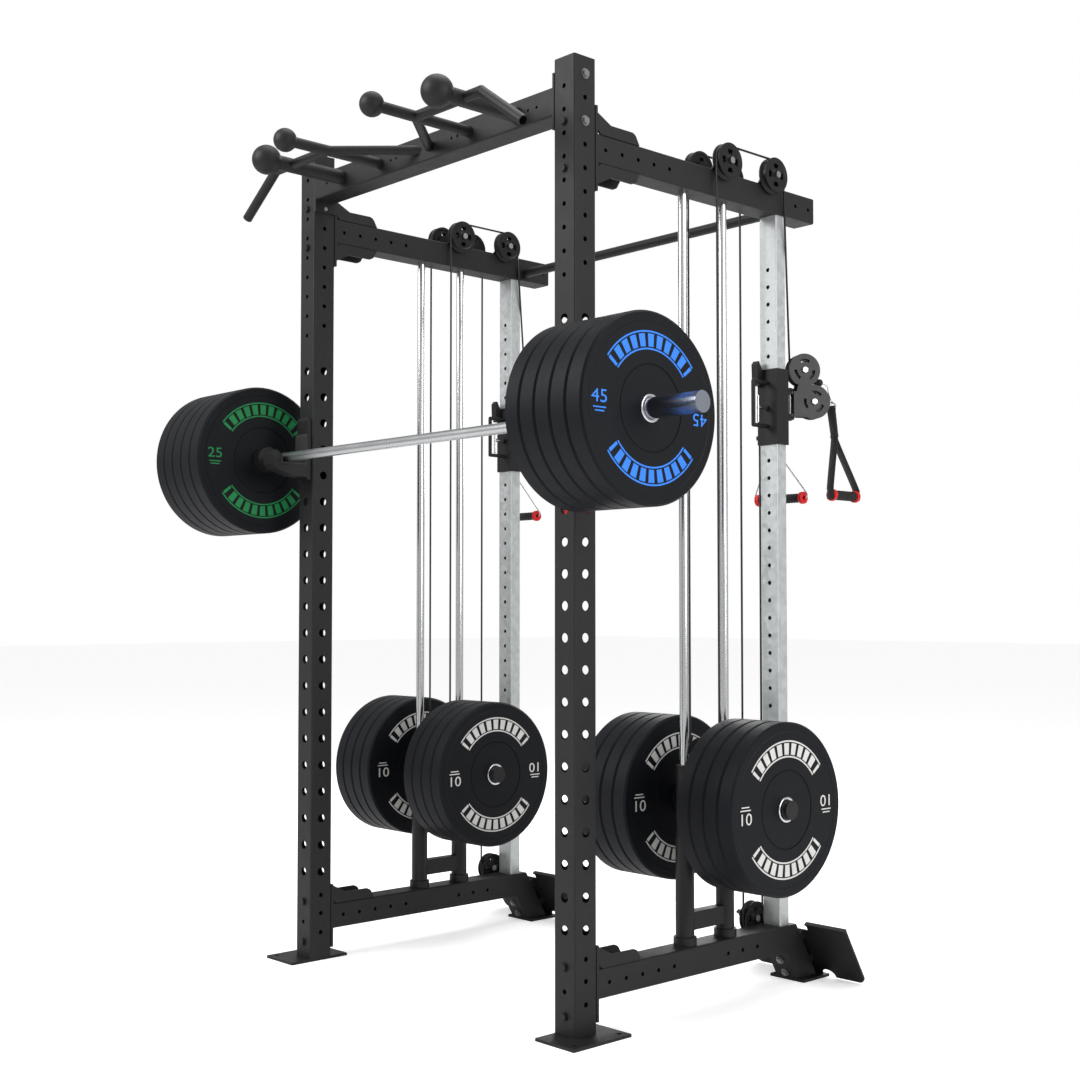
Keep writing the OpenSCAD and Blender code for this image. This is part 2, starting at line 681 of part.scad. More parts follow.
// ---- Carriages ----
module carriage(s) {
    ear_y = sheave_t / 2 + 1;
    color([0.13, 0.13, 0.13]) place() at_column(s) {
        difference() {
            union() {
                for (y = rod_y) translate([cx, y, car_z0]) cylinder(d = bush_d, h = bush_h);
                translate([cx - 20, rod_y[0], horn_z - 36]) cube([40, rod_gap, 72]);
                translate([stack_in_x - stack_len - horn_over, car_y, horn_z])
                    along_x(horn_d, stack_out_x + 2 * stack_len - stack_in_x + 2 * horn_over);
                translate([stack_in_x, car_y, horn_z]) along_x(horn_d + 24, 8);
                translate([stack_out_x - 8, car_y, horn_z]) along_x(horn_d + 24, 8);
                for (w = [-1, 1]) translate([cx - 20, car_y + w * (ear_y + 2) - 2, horn_z + 30])
                    cube([40, 4, car_pz - horn_z - 30 + 22]);
                translate([cx, car_y - ear_y - 9, car_pz]) along_y(axle_d, 2 * ear_y + 18);
                for (w = [-1, 1]) translate([cx, car_y + w * (ear_y + 4), car_pz])
                    rotate([-90 * w, 0, 0]) cylinder(d = head_d, h = head_h, $fn = 6);
            }
            for (y = rod_y) translate([cx, y, car_z0 - 1])
                cylinder(d = rod_d + 2 * fit, h = bush_h + 2);
        }
    }
}
module carriage_left() { carriage(-1); }
module carriage_right() { carriage(1); }

// Bumper plate along X from x: bevelled rim, raised rim band, groove and hub boss
module weight_plate(x, t) {
    b = 5;
    hub_r = 101;
    lip = 24;
    bore_r = sleeve_d / 2 + 0.4;
    face = [[bore_r, 0], [30, 0], [31, 1.5], [hub_r - 2, 1.5], [hub_r - 1, 3], [hub_r + 1, 3],
        [hub_r + 2, 1], [plate_r - lip - 3, 1], [plate_r - lip, 0], [plate_r - b, 0], [plate_r, b]];
    n = len(face) - 1;
    translate([x, 0, 0]) rotate([90, 0, 90]) rotate_extrude($fn = 96)
        polygon(concat(face, [for (i = [n : -1 : 0]) [face[i][0], t - face[i][1]]]));
}
module carriage_plates(s) {
    color([0.1, 0.1, 0.12]) place() at_column(s) translate([0, car_y, horn_z])
        for (k = [0 : car_plate_n - 1]) {
            weight_plate(stack_out_x + k * car_plate_t, car_plate_t);
            weight_plate(stack_in_x - (k + 1) * car_plate_t, car_plate_t);
        }
}
module carriage_plates_left() { carriage_plates(-1); }
module carriage_plates_right() { carriage_plates(1); }

// ---- Trolleys ----
module trolley(s) {
    z0 = trolley_z - sleeve_h / 2;
    lug_y = sl_y1 - 1;
    cab_y = low_py + low_rp;
    color([0.13, 0.13, 0.13]) place() at_column(s) {
        difference() {
            union() {
                translate([cx - sl_x, sl_y0, z0]) cube([2 * sl_x, sl_y1 - sl_y0, sleeve_h]);
                translate([cx, sl_y0 - 8, pin_z]) along_y(pin_d + 5, 9);
                for (z = [hinge_z[0], hinge_z[1] - lug_t]) {
                    translate([cx - 12, lug_y, z]) cube([24, hinge_y - lug_y, lug_t]);
                    translate([cx, hinge_y, z]) cylinder(d = 24, h = lug_t);
                }
                translate([cx, hinge_y, hinge_z[0] - 3]) cylinder(d = hinge_d,
                    h = hinge_z[1] - hinge_z[0] + 6);
                translate([cx, hinge_y - 22, hinge_z[0]]) cylinder(d = 8, h = hinge_z[1] - hinge_z[0]);
                for (z = [pin_z - 52, pin_z + 73]) {
                    rod([cx, d_bar_y, z], [cx, sl_y0 + 1, z], d_bar_d);
                    translate([cx, d_bar_y, z]) sphere(d = d_bar_d);
                }
                rod([cx, d_bar_y, pin_z - 52], [cx, d_bar_y, pin_z + 73], d_bar_d);
                translate([cx - sl_x - 1, sl_y0 - 18, trolley_z + sleeve_h / 2 - 46])
                    cube([22, 20, 46]);
                yz(cx - sl_x + 10, 22) polygon([[sl_y0, trolley_z + sleeve_h / 2 - 46],
                    [sl_y0 - 24, trolley_z + sleeve_h / 2 - 36],
                    [sl_y0 - 26, trolley_z + sleeve_h / 2 + 14],
                    [sl_y0 - 18, trolley_z + sleeve_h / 2 + 24],
                    [sl_y0 - 12, trolley_z + sleeve_h / 2 + 12],
                    [sl_y0, trolley_z + sleeve_h / 2 - 6]]);
                translate([arm_x - 7, cab_y - 7, arm_z])
                    cube([cx - sl_x - arm_x + 8, bail_top[0] - cab_y + 19, 12]);
                translate([arm_x - 12, bail_top[0] - 8, arm_z]) cube([24, 20, 12]);
                translate([arm_x, cab_y, arm_z - 14]) cylinder(d = 12, h = 19);
            }
            translate([cx - col_w / 2 - slide, col_y - slide, z0 - 1])
                cube([col_w + 2 * slide, col_d + 2 * slide, sleeve_h + 2]);
            translate([cx, sl_y0 - 20, pin_z]) along_y(pin_d + 2 * fit, 30);
            translate([arm_x, cab_y, arm_z - 15]) cylinder(d = cable_d + 0.6, h = 16);
        }
        for (w = [-1, 1]) translate([arm_x + w * 8 - 2, bail_top[0], bail_top[1]]) {
            along_x(12, 4);
            translate([0, -6, 0]) cube([4, 12, arm_z - bail_top[1] + 1]);
        }
        translate([arm_x - 12, bail_top[0], bail_top[1]]) along_x(eye_d, 24);
    }
}
module trolley_left() { trolley(-1); }
module trolley_right() { trolley(1); }

// Locking pin with the upright trigger bar inside the D handle
module trolley_pin(s) {
    color([0.85, 0.85, 0.87]) place() at_column(s) {
        rod([cx, trigger_y, pin_z], [cx, col_y - slide - 0.1, pin_z], pin_d);
        rod([cx, trigger_y, pin_z - 42], [cx, trigger_y, pin_z + 32], 6);
        for (z = [pin_z - 42, pin_z + 32]) translate([cx, trigger_y, z]) sphere(d = 6);
    }
}
module trolley_pin_left() { trolley_pin(-1); }
module trolley_pin_right() { trolley_pin(1); }

// Figure-eight cheeks of the swivel head
module cheek_2d() {
    difference() {
        union() {
            translate(sw_top) circle(cheek_r, $fn = 72);
            translate(sw_low) circle(cheek_r + 2, $fn = 72);
            polygon([[hinge_y + 6, hinge_z[0] + lug_t + gap], [hinge_y + 6, hinge_z[1] - lug_t - gap],
                [hinge_y + 15, hinge_z[1] - lug_t - gap], [hinge_y + 20, hinge_z[1] + 12],
                sw_top + [8, -20], sw_low + [10, 20], sw_low, [sw_low[0] - 20, hinge_z[0] + lug_t]]);
        }
        for (a = [90, 210, 330]) for (p = [[sw_top, 0], [sw_low, -18]])
            translate(p[0]) rotate(a + p[1] - 30) arc_slot_2d(28, 60, 9);
    }
}
module arc_slot_2d(r, sweep, w) {
    intersection() {
        difference() {
            circle(r + w / 2, $fn = 72);
            circle(r - w / 2, $fn = 72);
        }
        polygon([[0, 0], [2 * r, 0], [2 * r * cos(sweep), 2 * r * sin(sweep)]]);
    }
}
module swivel(s) {
    color([0.3, 0.3, 0.3]) place() head(s) {
        for (w = [-1, 1]) yz(cx + w * (cheek_x + cheek_t / 2), cheek_t) cheek_2d();
        for (z = [hinge_z[0] + lug_t + gap, hinge_z[1] - 2 * lug_t - gap]) difference() {
            union() {
                translate([cx, hinge_y, z]) cylinder(d = 24, h = lug_t);
                translate([cx - cheek_x - 1, hinge_y, z]) cube([2 * cheek_x + 2, 15, lug_t]);
            }
            translate([cx, hinge_y, z - 1]) cylinder(d = hinge_d + 2 * fit, h = lug_t + 2);
        }
        for (p = [sw_top, sw_low]) {
            translate([cx - cheek_x - cheek_t - 2, p[0], p[1]]) along_x(axle_d, 2 * (cheek_x + cheek_t) + 4);
            for (w = [-1, 1]) translate([cx + w * (cheek_x + cheek_t), p[0], p[1]])
                rotate([0, 90 * w, 0]) cylinder(d = head_d - 2, h = 6, $fn = 6);
        }
    }
}
module swivel_left() { swivel(-1); }
module swivel_right() { swivel(1); }

// Cable from the top swivel pulley to its stop ball, and the link that carries the strap
module cable_end(s) {
    d = stop_c - sw_top;
    out = atan2(d[1], d[0]) - acos(sw_rp / norm(d));
    leave = sw_top + sw_rp * [cos(out), sin(out)];
    bend_a = [hinge_y + 118, trolley_z + 75];
    bend_b = [hinge_y + 123, trolley_z + 55];
    end_c = [hinge_y + link_end, strap_top[1] + 15];
    color([0.12, 0.12, 0.12]) place() {
        head(s) {
            arc_yz(cx, sw_top[0], sw_top[1], sw_rp, 180, 180 + out);
            rod([cx, leave[0], leave[1]], [cx, stop_c[0], stop_c[1]], cable_d);
            translate([cx, leave[0], leave[1]]) sphere(d = cable_d + 0.3);
            translate([cx, stop_c[0], stop_c[1]]) sphere(d = stop_d);
            for (p = [[stop_c, bend_a], [bend_a, bend_b], [bend_b, end_c]])
                rod([cx, p[0][0], p[0][1]], [cx, p[1][0], p[1][1]], link_d);
            for (p = [bend_a, bend_b]) translate([cx, p[0], p[1]]) sphere(d = link_d + 0.4);
            translate([cx, end_c[0], end_c[1]]) sphere(d = link_d + 2);
        }
        at_column(s) translate([cx + strap_dx, strap_top[0], strap_top[1]]) {
            translate([-17, 0, 0]) along_x(link_d, 34);
            translate([0, link_d / 2 - 0.3, 0]) rotate([90, 0, 0])
                linear_extrude(link_d - 0.6) polygon([[-16.6, 0], [-16.6, 8], [-3, 17], [3, 17],
                    [16.6, 8], [16.6, 0], [13.4, 0], [13.4, 7], [0, 13], [-13.4, 7], [-13.4, 0]]);
        }
    }
}
module cable_end_left() { cable_end(-1); }
module cable_end_right() { cable_end(1); }

// Webbing loop: short neck round the link, then a leg to each end of the grip
module strap_webbing(s) {
    top = link_d / 2 + 0.5;
    b = link_d / 2 + 1.5;
    c = b + strap_t;
    t = strap_x;
    h = strap_t / 2;
    e = [grip_y[0] - 13.5, grip_y[1] + 13.5];
    color([0.08, 0.08, 0.08]) place() at_column(s) yz(cx + strap_dx, strap_w) difference() {
        polygon([strap_top + [-c, 2], strap_top + [-3.5, top + strap_t],
            strap_top + [3.5, top + strap_t], strap_top + [c, 2], t + [3.8, 6],
            t + [3.8, -6], [e[1] + h, grip_z + 22], [e[1] + h, grip_z - 14], [e[1] - h, grip_z - 14],
            [e[1] - h, grip_z + 21], t + [0, -12], [e[0] + h, grip_z + 21],
            [e[0] + h, grip_z - 14], [e[0] - h, grip_z - 14], [e[0] - h, grip_z + 22],
            t + [-3.8, -6], t + [-3.8, 6]]);
        polygon([strap_top + [-b, top], strap_top + [b, top], t + [0.8, 8], t + [-0.8, 8]]);
    }
}
module strap_webbing_left() { strap_webbing(-1); }
module strap_webbing_right() { strap_webbing(1); }
module strap_grip(s) {
    color([0.1, 0.1, 0.1]) place() at_column(s) translate([cx + strap_dx, 0, grip_z]) {
        translate([0, grip_y[0], 0]) along_y(handle_d, grip_y[1] - grip_y[0]);
        for (y = [grip_y[0] - 12, grip_y[1] - 1]) translate([0, y, 0]) along_y(grip_ring, 13);
    }
}
module strap_grip_left() { strap_grip(-1); }
module strap_grip_right() { strap_grip(1); }

module bail_handle(s) {
    foot = [bail_low[0], bail_low[1] + 6];
    color([0.6, 0.6, 0.6]) place() at_column(s) {
        difference() {
            union() {
                translate([arm_x - 5.5, bail_top[0], bail_top[1]]) along_x(eye_d + 7, 11);
                for (w = [-1, 1]) rod([arm_x + w * 2, bail_top[0] + 1, bail_top[1] - 5],
                    [arm_x + w * bail_half, foot[0], foot[1]], link_d);
            }
            translate([arm_x - 6.5, bail_top[0], bail_top[1]]) along_x(eye_d + 2 * fit, 13);
        }
        for (w = [-1, 1]) {
            rod([arm_x + w * bail_half, foot[0], foot[1]],
                [arm_x + w * (bail_cap - 2), bail_low[0], bail_low[1]], link_d);
            translate([arm_x + w * bail_half, foot[0], foot[1]]) sphere(d = link_d + 0.6);
            translate([arm_x + w * bail_cap - 6.5, bail_low[0], bail_low[1]]) along_x(grip_ring, 13);
        }
        translate([arm_x - bail_cap, bail_low[0], bail_low[1]]) along_x(handle_d - 2, 2 * bail_cap);
    }
}
module bail_handle_left() { bail_handle(-1); }
module bail_handle_right() { bail_handle(1); }

// ---- Barbell ----
module bar_shaft() {
    color([0.7, 0.72, 0.72]) place() translate([0, bar_y, bar_z]) {
        translate([-collar_x, 0, 0]) along_x(shaft_d, 2 * collar_x);
        translate([12 - bar_half, 0, 0]) along_x(spigot_d, 2 * bar_half - 24);
    }
}
module bar_sleeve(s) {
    x0 = collar_x + gap;
    color([0.55, 0.57, 0.6]) place() side(s) translate([0, bar_y, bar_z]) difference() {
        union() {
            translate([x0, 0, 0]) along_x(sleeve_d + 26, collar_t - gap);
            translate([x0, 0, 0]) along_x(sleeve_d, bar_half - x0);
        }
        translate([x0 - 1, 0, 0]) along_x(spigot_d + 2 * fit, bar_half - x0 - 10);
    }
}
module bar_sleeve_left() { bar_sleeve(-1); }
module bar_sleeve_right() { bar_sleeve(1); }
module bar_plates(s) {
    color([0.1, 0.1, 0.12]) place() side(s) translate([0, bar_y, bar_z])
        for (k = [0 : bar_plate_n - 1]) weight_plate(collar_x + collar_t + k * bar_plate_t, bar_plate_t);
}
module bar_plates_left() { bar_plates(-1); }
module bar_plates_right() { bar_plates(1); }

uprights();
pull_up_bar();
side_beams();
beam_brackets();
rear_cross_tube();
trolley_columns();
guide_rods();
carriage_posts();
rear_legs();
foot_plates();
pulley_mounts();
frame_bolts();
j_cups();
j_cup_liners();
frame_cables();
carriage_left();
carriage_right();
carriage_plates_left();
carriage_plates_right();
carriage_cable_left();
carriage_cable_right();
trolley_left();
trolley_right();
trolley_pin_left();
trolley_pin_right();
swivel_left();
swivel_right();
cable_end_left();
cable_end_right();
trolley_cable_upper_left();
trolley_cable_upper_right();
trolley_cable_lower_left();
trolley_cable_lower_right();
strap_webbing_left();
strap_webbing_right();
strap_grip_left();
strap_grip_right();
bail_handle_left();
bail_handle_right();
bar_shaft();
bar_sleeve_left();
bar_sleeve_right();
bar_plates_left();
bar_plates_right();
pulley_outer_front_left();
pulley_outer_front_right();
pulley_outer_rear_left();
pulley_outer_rear_right();
pulley_inner_front_left();
pulley_inner_front_right();
pulley_inner_rear_left();
pulley_inner_rear_right();
pulley_low_left();
pulley_low_right();
pulley_carriage_left();
pulley_carriage_right();
pulley_swivel_top_left();
pulley_swivel_top_right();
pulley_swivel_low_left();
pulley_swivel_low_right();
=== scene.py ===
"""Power cage: finishes, printed plates, straps, cables and studio around its fixed metal frame."""
import math

import bpy
from mathutils import Matrix, Vector


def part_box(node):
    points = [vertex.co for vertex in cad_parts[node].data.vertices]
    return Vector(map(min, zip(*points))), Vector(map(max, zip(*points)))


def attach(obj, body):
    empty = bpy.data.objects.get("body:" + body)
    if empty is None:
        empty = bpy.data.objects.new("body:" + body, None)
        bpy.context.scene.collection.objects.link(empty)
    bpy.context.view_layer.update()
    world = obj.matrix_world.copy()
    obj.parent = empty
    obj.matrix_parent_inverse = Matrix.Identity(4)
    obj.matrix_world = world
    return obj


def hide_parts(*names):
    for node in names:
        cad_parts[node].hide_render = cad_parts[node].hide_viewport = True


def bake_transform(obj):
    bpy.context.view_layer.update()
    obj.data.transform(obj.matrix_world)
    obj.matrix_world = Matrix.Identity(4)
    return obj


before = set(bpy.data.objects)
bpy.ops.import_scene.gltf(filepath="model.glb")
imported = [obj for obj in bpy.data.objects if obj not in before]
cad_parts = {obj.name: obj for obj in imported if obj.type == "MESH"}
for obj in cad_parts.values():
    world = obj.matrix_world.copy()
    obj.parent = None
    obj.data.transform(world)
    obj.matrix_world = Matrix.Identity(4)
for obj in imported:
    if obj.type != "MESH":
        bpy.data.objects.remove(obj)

bl_info = {
    "name": "Power cage",
    "version": (1, 0, 0),
    "blender": (4, 5, 0),
    "location": "View3D > Sidebar > Power cage",
    "description": "Finishes, plate prints, straps, cables and studio for a power cage",
    "category": "Object",
}

SIDES = (("left", -1), ("right", 1))
BEAM_GAP = 0.083                # from the front of the uprights to the beams
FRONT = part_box("side_beams")[0].y - BEAM_GAP
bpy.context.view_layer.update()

# Swivel heads and their hinges
HEAD_TURN = math.radians(30)    # the heads rest turned to the right
LOW_PULLEY_UP = 0.0085          # from the trolley's lower lug up to a head's low pulley
HINGE_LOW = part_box("pulley_swivel_low_right")[0].z - LOW_PULLEY_UP
HINGE_TALL = 0.090              # from the underside of the lower lug to the top of the upper one
LUG = 0.0085                    # thickness of a lug, with a little room
LUG_RADIUS = 0.012
ROD_BAND = (-0.027, 0.006)      # the two rods between the lugs, along Y from the hinge line
CHEEK_BAND = (0.0172, 0.03)     # what stands out past a cheek, from the head's middle plane
STRAP_REACH = 0.1317            # from the hinge line out to the bar that carries a strap
STRAP_TOP = 0.0055              # from that bar's middle up to the top of the webbing
WHEEL_RUN = 0.040               # hinge line to top pulley, and the cable's radius on that pulley
STOP_AT = (0, 0.0537, -0.034)   # from the top pulley's middle to the stop ball
LINK_BENDS = ((0, 0.078, -0.042), (0, 0.083, -0.062))  # and to the bends of the link's wire
CROSSING = (0.129, -0.087)      # where the webbing crosses: Y from the hinge line, Z from the bar

# Pulley axles
PAST_FACE = 0.0008              # just off a pulley's face
HEAD_DEEP = 0.010               # reach of a bolt head past the face
HEAD_HALF = 0.011               # half a bolt head's height

# Plate faces
PRINT = 0.0004                  # thickness of the print
SUNK = 0.0001                   # the print starts this far inside the face
ARC_SWEEP = 106                 # degrees that a printed arc takes
LINE_SHARE = 0.09               # a thin arc's width, as a share of the band's
BLOCK_SHARE = 0.16              # room between the band's edge and its blocks, as a share of its width
BLOCK_STEP = 10.4               # degrees from block to block

# Handles
CAP_T = 0.013                   # length of a red end ring
STRAP_RUBBER = 0.0035           # how far the rubber lies inside the end rings of a strap's grip
WIRE_RUBBER = 0.0138            # radius of the rubber on a wire handle
RIBS = 14                       # ribs on a rubber grip
RIB_DEEP = 0.0006               # half of what a rib stands out


# ---- Settings ----
def length(name, text, value):
    return bpy.props.FloatProperty(name=name, description=text, default=value, min=0.0, unit="LENGTH",
                                   subtype="DISTANCE")


def colour(name, text, value):
    return bpy.props.FloatVectorProperty(name=name, description=text, default=value, size=3, min=0.0,
                                         max=1.0, subtype="COLOR")


class CageColours(bpy.types.PropertyGroup):
    powder: colour("Powder coat", "Frame tube colour", (0.011, 0.011, 0.0115))
    steel_paint: colour("Black paint", "Brackets, posts and trolleys", (0.008, 0.008, 0.0085))
    rubber: colour("Plate rubber", "Bumper plates", (0.0045, 0.0052, 0.0075))
    blue: colour("Blue print", "Print on the right barbell plates", (0.03, 0.22, 0.83))
    green: colour("Green print", "Print on the left barbell plates", (0.007, 0.22, 0.06))
    pale: colour("Pale print", "Print on the carriage plates", (0.62, 0.62, 0.60))
    red: colour("Red caps", "End caps of the hand grips", (0.58, 0.008, 0.012))
    zinc: colour("Galvanised", "Trolley columns", (0.52, 0.54, 0.54))
    cheek: colour("Swivel grey", "Swivel cheeks", (0.045, 0.045, 0.047))


class CageSizes(bpy.types.PropertyGroup):
    cable: length("Cable", "Diameter of the steel cable", 0.006)
    stack: length("Plate stack", "Thickness of a carriage stack", 0.184)
    recess: length("Face recess", "Depth of a plate's printed face below its rim", 0.001)
    hub_recess: length("Hub recess", "Depth of a plate's middle below its rim", 0.0015)
    arc_out: length("Print outer radius", "Outer edge of the printed arcs", 0.178)
    arc_in: length("Print inner radius", "Inner edge of the printed arcs", 0.134)
    digit: length("Digit height", "Height of the weight number", 0.030)
    mark: length("Number radius", "Plate middle to the weight number", 0.166)
    hub: length("Hub radius", "Radius of the steel hub ring", 0.033)
    sleeve: length("Sleeve", "Diameter of the barbell sleeves", 0.05)
    web: length("Webbing width", "Width of the handle webbing", 0.025)
    web_t: length("Webbing thickness", "Thickness of the handle webbing", 0.0026)
    wire: length("Wire", "Diameter of the wire of links and handles", 0.004)
    stop: length("Stop ball", "Diameter of the ball that stops the cable", 0.022)


# ---- Materials ----
def add_node(tree, kind, **values):
    """A new shader node with some of its inputs set."""
    node = tree.nodes.new("ShaderNode" + kind)
    for name, value in values.items():
        node.inputs[name].default_value = value
    return node


class Shade:
    """A principled material whose colour, roughness and bump come from noise in object space."""

    def __init__(self, name, base, rough, metal=0.0, shine=0.3):
        self.mat = bpy.data.materials.new(name)
        self.mat.use_nodes = True
        self.tree = self.mat.node_tree
        self.bsdf = self.tree.nodes["Principled BSDF"]
        self.bsdf.inputs["Metallic"].default_value = metal
        self.bsdf.inputs["Roughness"].default_value = rough
        self.bsdf.inputs["Specular IOR Level"].default_value = shine
        self.base = base
        self.rough = rough
        self.coord = add_node(self.tree, "TexCoord").outputs["Object"]

    def link(self, a, b):
        self.tree.links.new(a, b)

    def mapped(self, **values):
        mapping = add_node(self.tree, "Mapping", **values)
        self.link(self.coord, mapping.inputs["Vector"])
        return mapping.outputs["Vector"]

    def noise(self, scale, detail=2.0, stretch=(1, 1, 1)):
        node = add_node(self.tree, "TexNoise", Scale=scale, Detail=detail)
        self.link(self.mapped(Scale=stretch), node.inputs["Vector"])
        return node.outputs["Fac"]

    def cells(self, scale):
        node = add_node(self.tree, "TexVoronoi", Scale=scale)
        self.link(self.coord, node.inputs["Vector"])
        separate = add_node(self.tree, "SeparateColor")
        self.link(node.outputs["Color"], separate.inputs["Color"])
        return separate.outputs["Red"]

    def wave(self, scale, direction, turn=(0, 0, 0)):
        node = add_node(self.tree, "TexWave", Scale=scale)
        node.bands_direction = direction
        self.link(self.mapped(Rotation=turn), node.inputs["Vector"])
        return node.outputs["Fac"]

    def math(self, kind, a, b):
        node = add_node(self.tree, "Math")
        node.operation = kind
        for socket, value in zip(node.inputs, (a, b)):
            if isinstance(value, (int, float)):
                socket.default_value = value
            else:
                self.link(value, socket)
        return node.outputs[0]

    def inside(self, value, low, high):
        """1 where a value lies between two others, and else 0."""
        return self.math("MULTIPLY", self.math("GREATER_THAN", value, low),
                         self.math("LESS_THAN", value, high))

    def mix(self, kind, fac, a, b, target):
        """Blends input a with b by fac into a target socket."""
        node = add_node(self.tree, "Mix")
        node.data_type = kind
        first, second, out = (6, 7, 2) if kind == "RGBA" else (2, 3, 0)
        for socket, value in ((node.inputs[first], a), (node.inputs[second], b)):
            if isinstance(value, bpy.types.NodeSocket):
                self.link(value, socket)
            else:
                socket.default_value = value
        self.link(fac, node.inputs[0])
        self.link(node.outputs[out], target)

    def tint(self, fac, amount):
        """Colour swings by amount round the base as fac runs from 0 to 1."""
        low = [c * (1 - amount) for c in self.base]
        high = [min(1.0, c * (1 + amount)) for c in self.base]
        self.mix("RGBA", fac, (*low, 1), (*high, 1), self.bsdf.inputs["Base Color"])
        return self

    def between(self, axis, low, high, both=True):
        """1 where a coordinate lies between two values; with both, X counts from the middle."""
        split = add_node(self.tree, "SeparateXYZ")
        self.link(self.coord, split.inputs[0])
        place = split.outputs[axis]
        if axis == "X" and both:
            place = self.math("ABSOLUTE", place, 0)
        return self.inside(place, low, high)

    def beside(self, point, normal, low, high):
        """1 where the distance from a plane through the point lies between two values."""
        dot = add_node(self.tree, "VectorMath")
        dot.operation = "DOT_PRODUCT"
        self.link(self.coord, dot.inputs[0])
        dot.inputs[1].default_value = normal
        offset = self.math("SUBTRACT", dot.outputs["Value"], Vector(point).dot(normal))
        return self.inside(self.math("ABSOLUTE", offset, 0), low, high)

    def patch(self, fac, base, rough, metal):
        """A second finish where fac is 1."""
        for name, value in (("Base Color", (*base, 1)), ("Roughness", rough), ("Metallic", metal)):
            target = self.bsdf.inputs[name]
            first = target.links[0].from_socket if target.links else target.default_value
            self.mix("RGBA" if name == "Base Color" else "FLOAT", fac, first, value, target)
        return self

    def polish(self, fac, amount):
        """Roughness swings by amount round its own value as fac runs from 0 to 1."""
        node = add_node(self.tree, "MapRange")
        node.inputs["To Min"].default_value = max(0.02, self.rough - amount)
        node.inputs["To Max"].default_value = min(1.0, self.rough + amount)
        self.link(fac, node.inputs["Value"])
        self.link(node.outputs["Result"], self.bsdf.inputs["Roughness"])
        return self

    def bump(self, fac, distance, strength):
        node = add_node(self.tree, "Bump", Distance=distance, Strength=strength)
        self.link(fac, node.inputs["Height"])
        self.link(node.outputs["Normal"], self.bsdf.inputs["Normal"])
        return self


ZINC = ((0.42, 0.42, 0.44), 0.28, 1.0)    # colour, roughness and metal of plated hardware


def powder_coat(name, base, rough=0.5, bright=None):
    """Orange-peel coat; bright picks the places that are plated steel instead."""
    s = Shade(name, base, rough)
    s.tint(s.noise(9.0, 3.0), 0.18).polish(s.noise(26.0), 0.08)
    s.bump(s.noise(900.0), 0.0006, 0.35)
    if bright:
        s.patch(bright(s), *ZINC)
    return s.mat


def axle_ends(s):
    """Bolt heads outside the outer top pulleys, inside the inner ones and right of the low ones."""
    inner = s.between("X", 0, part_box("pulley_inner_front_right")[0].x - PAST_FACE)
    outer = s.between("X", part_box("pulley_outer_front_right")[1].x + PAST_FACE, 1)
    upper = s.between("Z", 1, 9)
    fac = s.math("MULTIPLY", s.math("MAXIMUM", inner, outer), upper)
    for name, _ in SIDES:
        low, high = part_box("pulley_low_" + name)
        head = s.between("X", high.x + PAST_FACE, high.x + HEAD_DEEP, False)
        bolt = s.math("MULTIPLY", head, s.between("Z", (low.z + high.z) / 2 - HEAD_HALF, high.z))
        fac = s.math("MAXIMUM", fac, bolt)
    return fac


def hinge_point(name):
    """Where a trolley's upright hinge line meets the underside of its lower lug."""
    return Vector((middle("trolley_pin_" + name).x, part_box("swivel_" + name)[0].y + LUG_RADIUS,
                   HINGE_LOW))


def head_frame(name):
    """Turns what is built straight back from a hinge with its swivel head."""
    hinge = hinge_point(name)
    turn = Matrix.Rotation(-HEAD_TURN, 4, "Z")
    return Matrix.Translation(hinge) @ turn @ Matrix.Translation(-hinge)


def swivel_bolts(s):
    """Bolt heads on both cheeks of a swivel."""
    normal = (math.cos(HEAD_TURN), -math.sin(HEAD_TURN), 0)
    heads = [s.beside(hinge_point(name), normal, *CHEEK_BAND) for name, _ in SIDES]
    return s.math("MAXIMUM", *heads)


def hinge_rods(s):
    """The two upright rods between the trolley's lugs."""
    hinge = hinge_point("right").y
    lugs = s.between("Z", HINGE_LOW + LUG, HINGE_LOW + HINGE_TALL - LUG)
    return s.math("MULTIPLY", s.between("Y", *(hinge + y for y in ROD_BAND)), lugs)


def plated(name, base, rough, front_black):
    """Plated bolts whose heads on the front of the uprights are black."""
    s = Shade(name, base, rough, 1.0)
    s.tint(s.noise(60.0, 3.0), 0.06).polish(s.noise(150.0), 0.05)
    s.bump(s.noise(500.0), 0.0002, 0.3)
    return s.patch(s.between("Y", -10, FRONT + 0.0002), front_black, 0.45, 0.0).mat


def polished(name, base, rough, stretch=(1, 1, 0.03), scale=6.0):
    """Bright metal with faint long streaks."""
    s = Shade(name, base, rough, 1.0)
    s.tint(s.noise(scale, 2.0, stretch), 0.06)
    return s.polish(s.noise(scale * 2, 2.0, stretch), 0.04).mat


def galvanised(name, base):
    """Zinc with its patchwork of crystals."""
    s = Shade(name, base, 0.42, 0.55)
    s.tint(s.cells(70.0), 0.07).polish(s.cells(70.0), 0.10)
    return s.bump(s.noise(260.0), 0.0002, 0.25).mat


def moulded(name, base, rough, grain=500.0, depth=0.0004, shine=0.3):
    """Rubber, nylon or ink with a fine grain."""
    s = Shade(name, base, rough, 0.0, shine)
    s.tint(s.noise(14.0, 4.0), 0.15).polish(s.noise(40.0), 0.07)
    return s.bump(s.noise(grain), depth, 0.4).mat


def knurled(name, base):
    """Steel with two crossing sets of fine grooves."""
    s = Shade(name, base, 0.3, 1.0)
    s.tint(s.noise(6.0), 0.06).polish(s.noise(12.0), 0.05)
    one, two = (s.wave(260.0, "X", (0, math.radians(slant), 0)) for slant in (30, -30))
    return s.bump(s.math("MULTIPLY", one, two), 0.00005, 0.15).mat


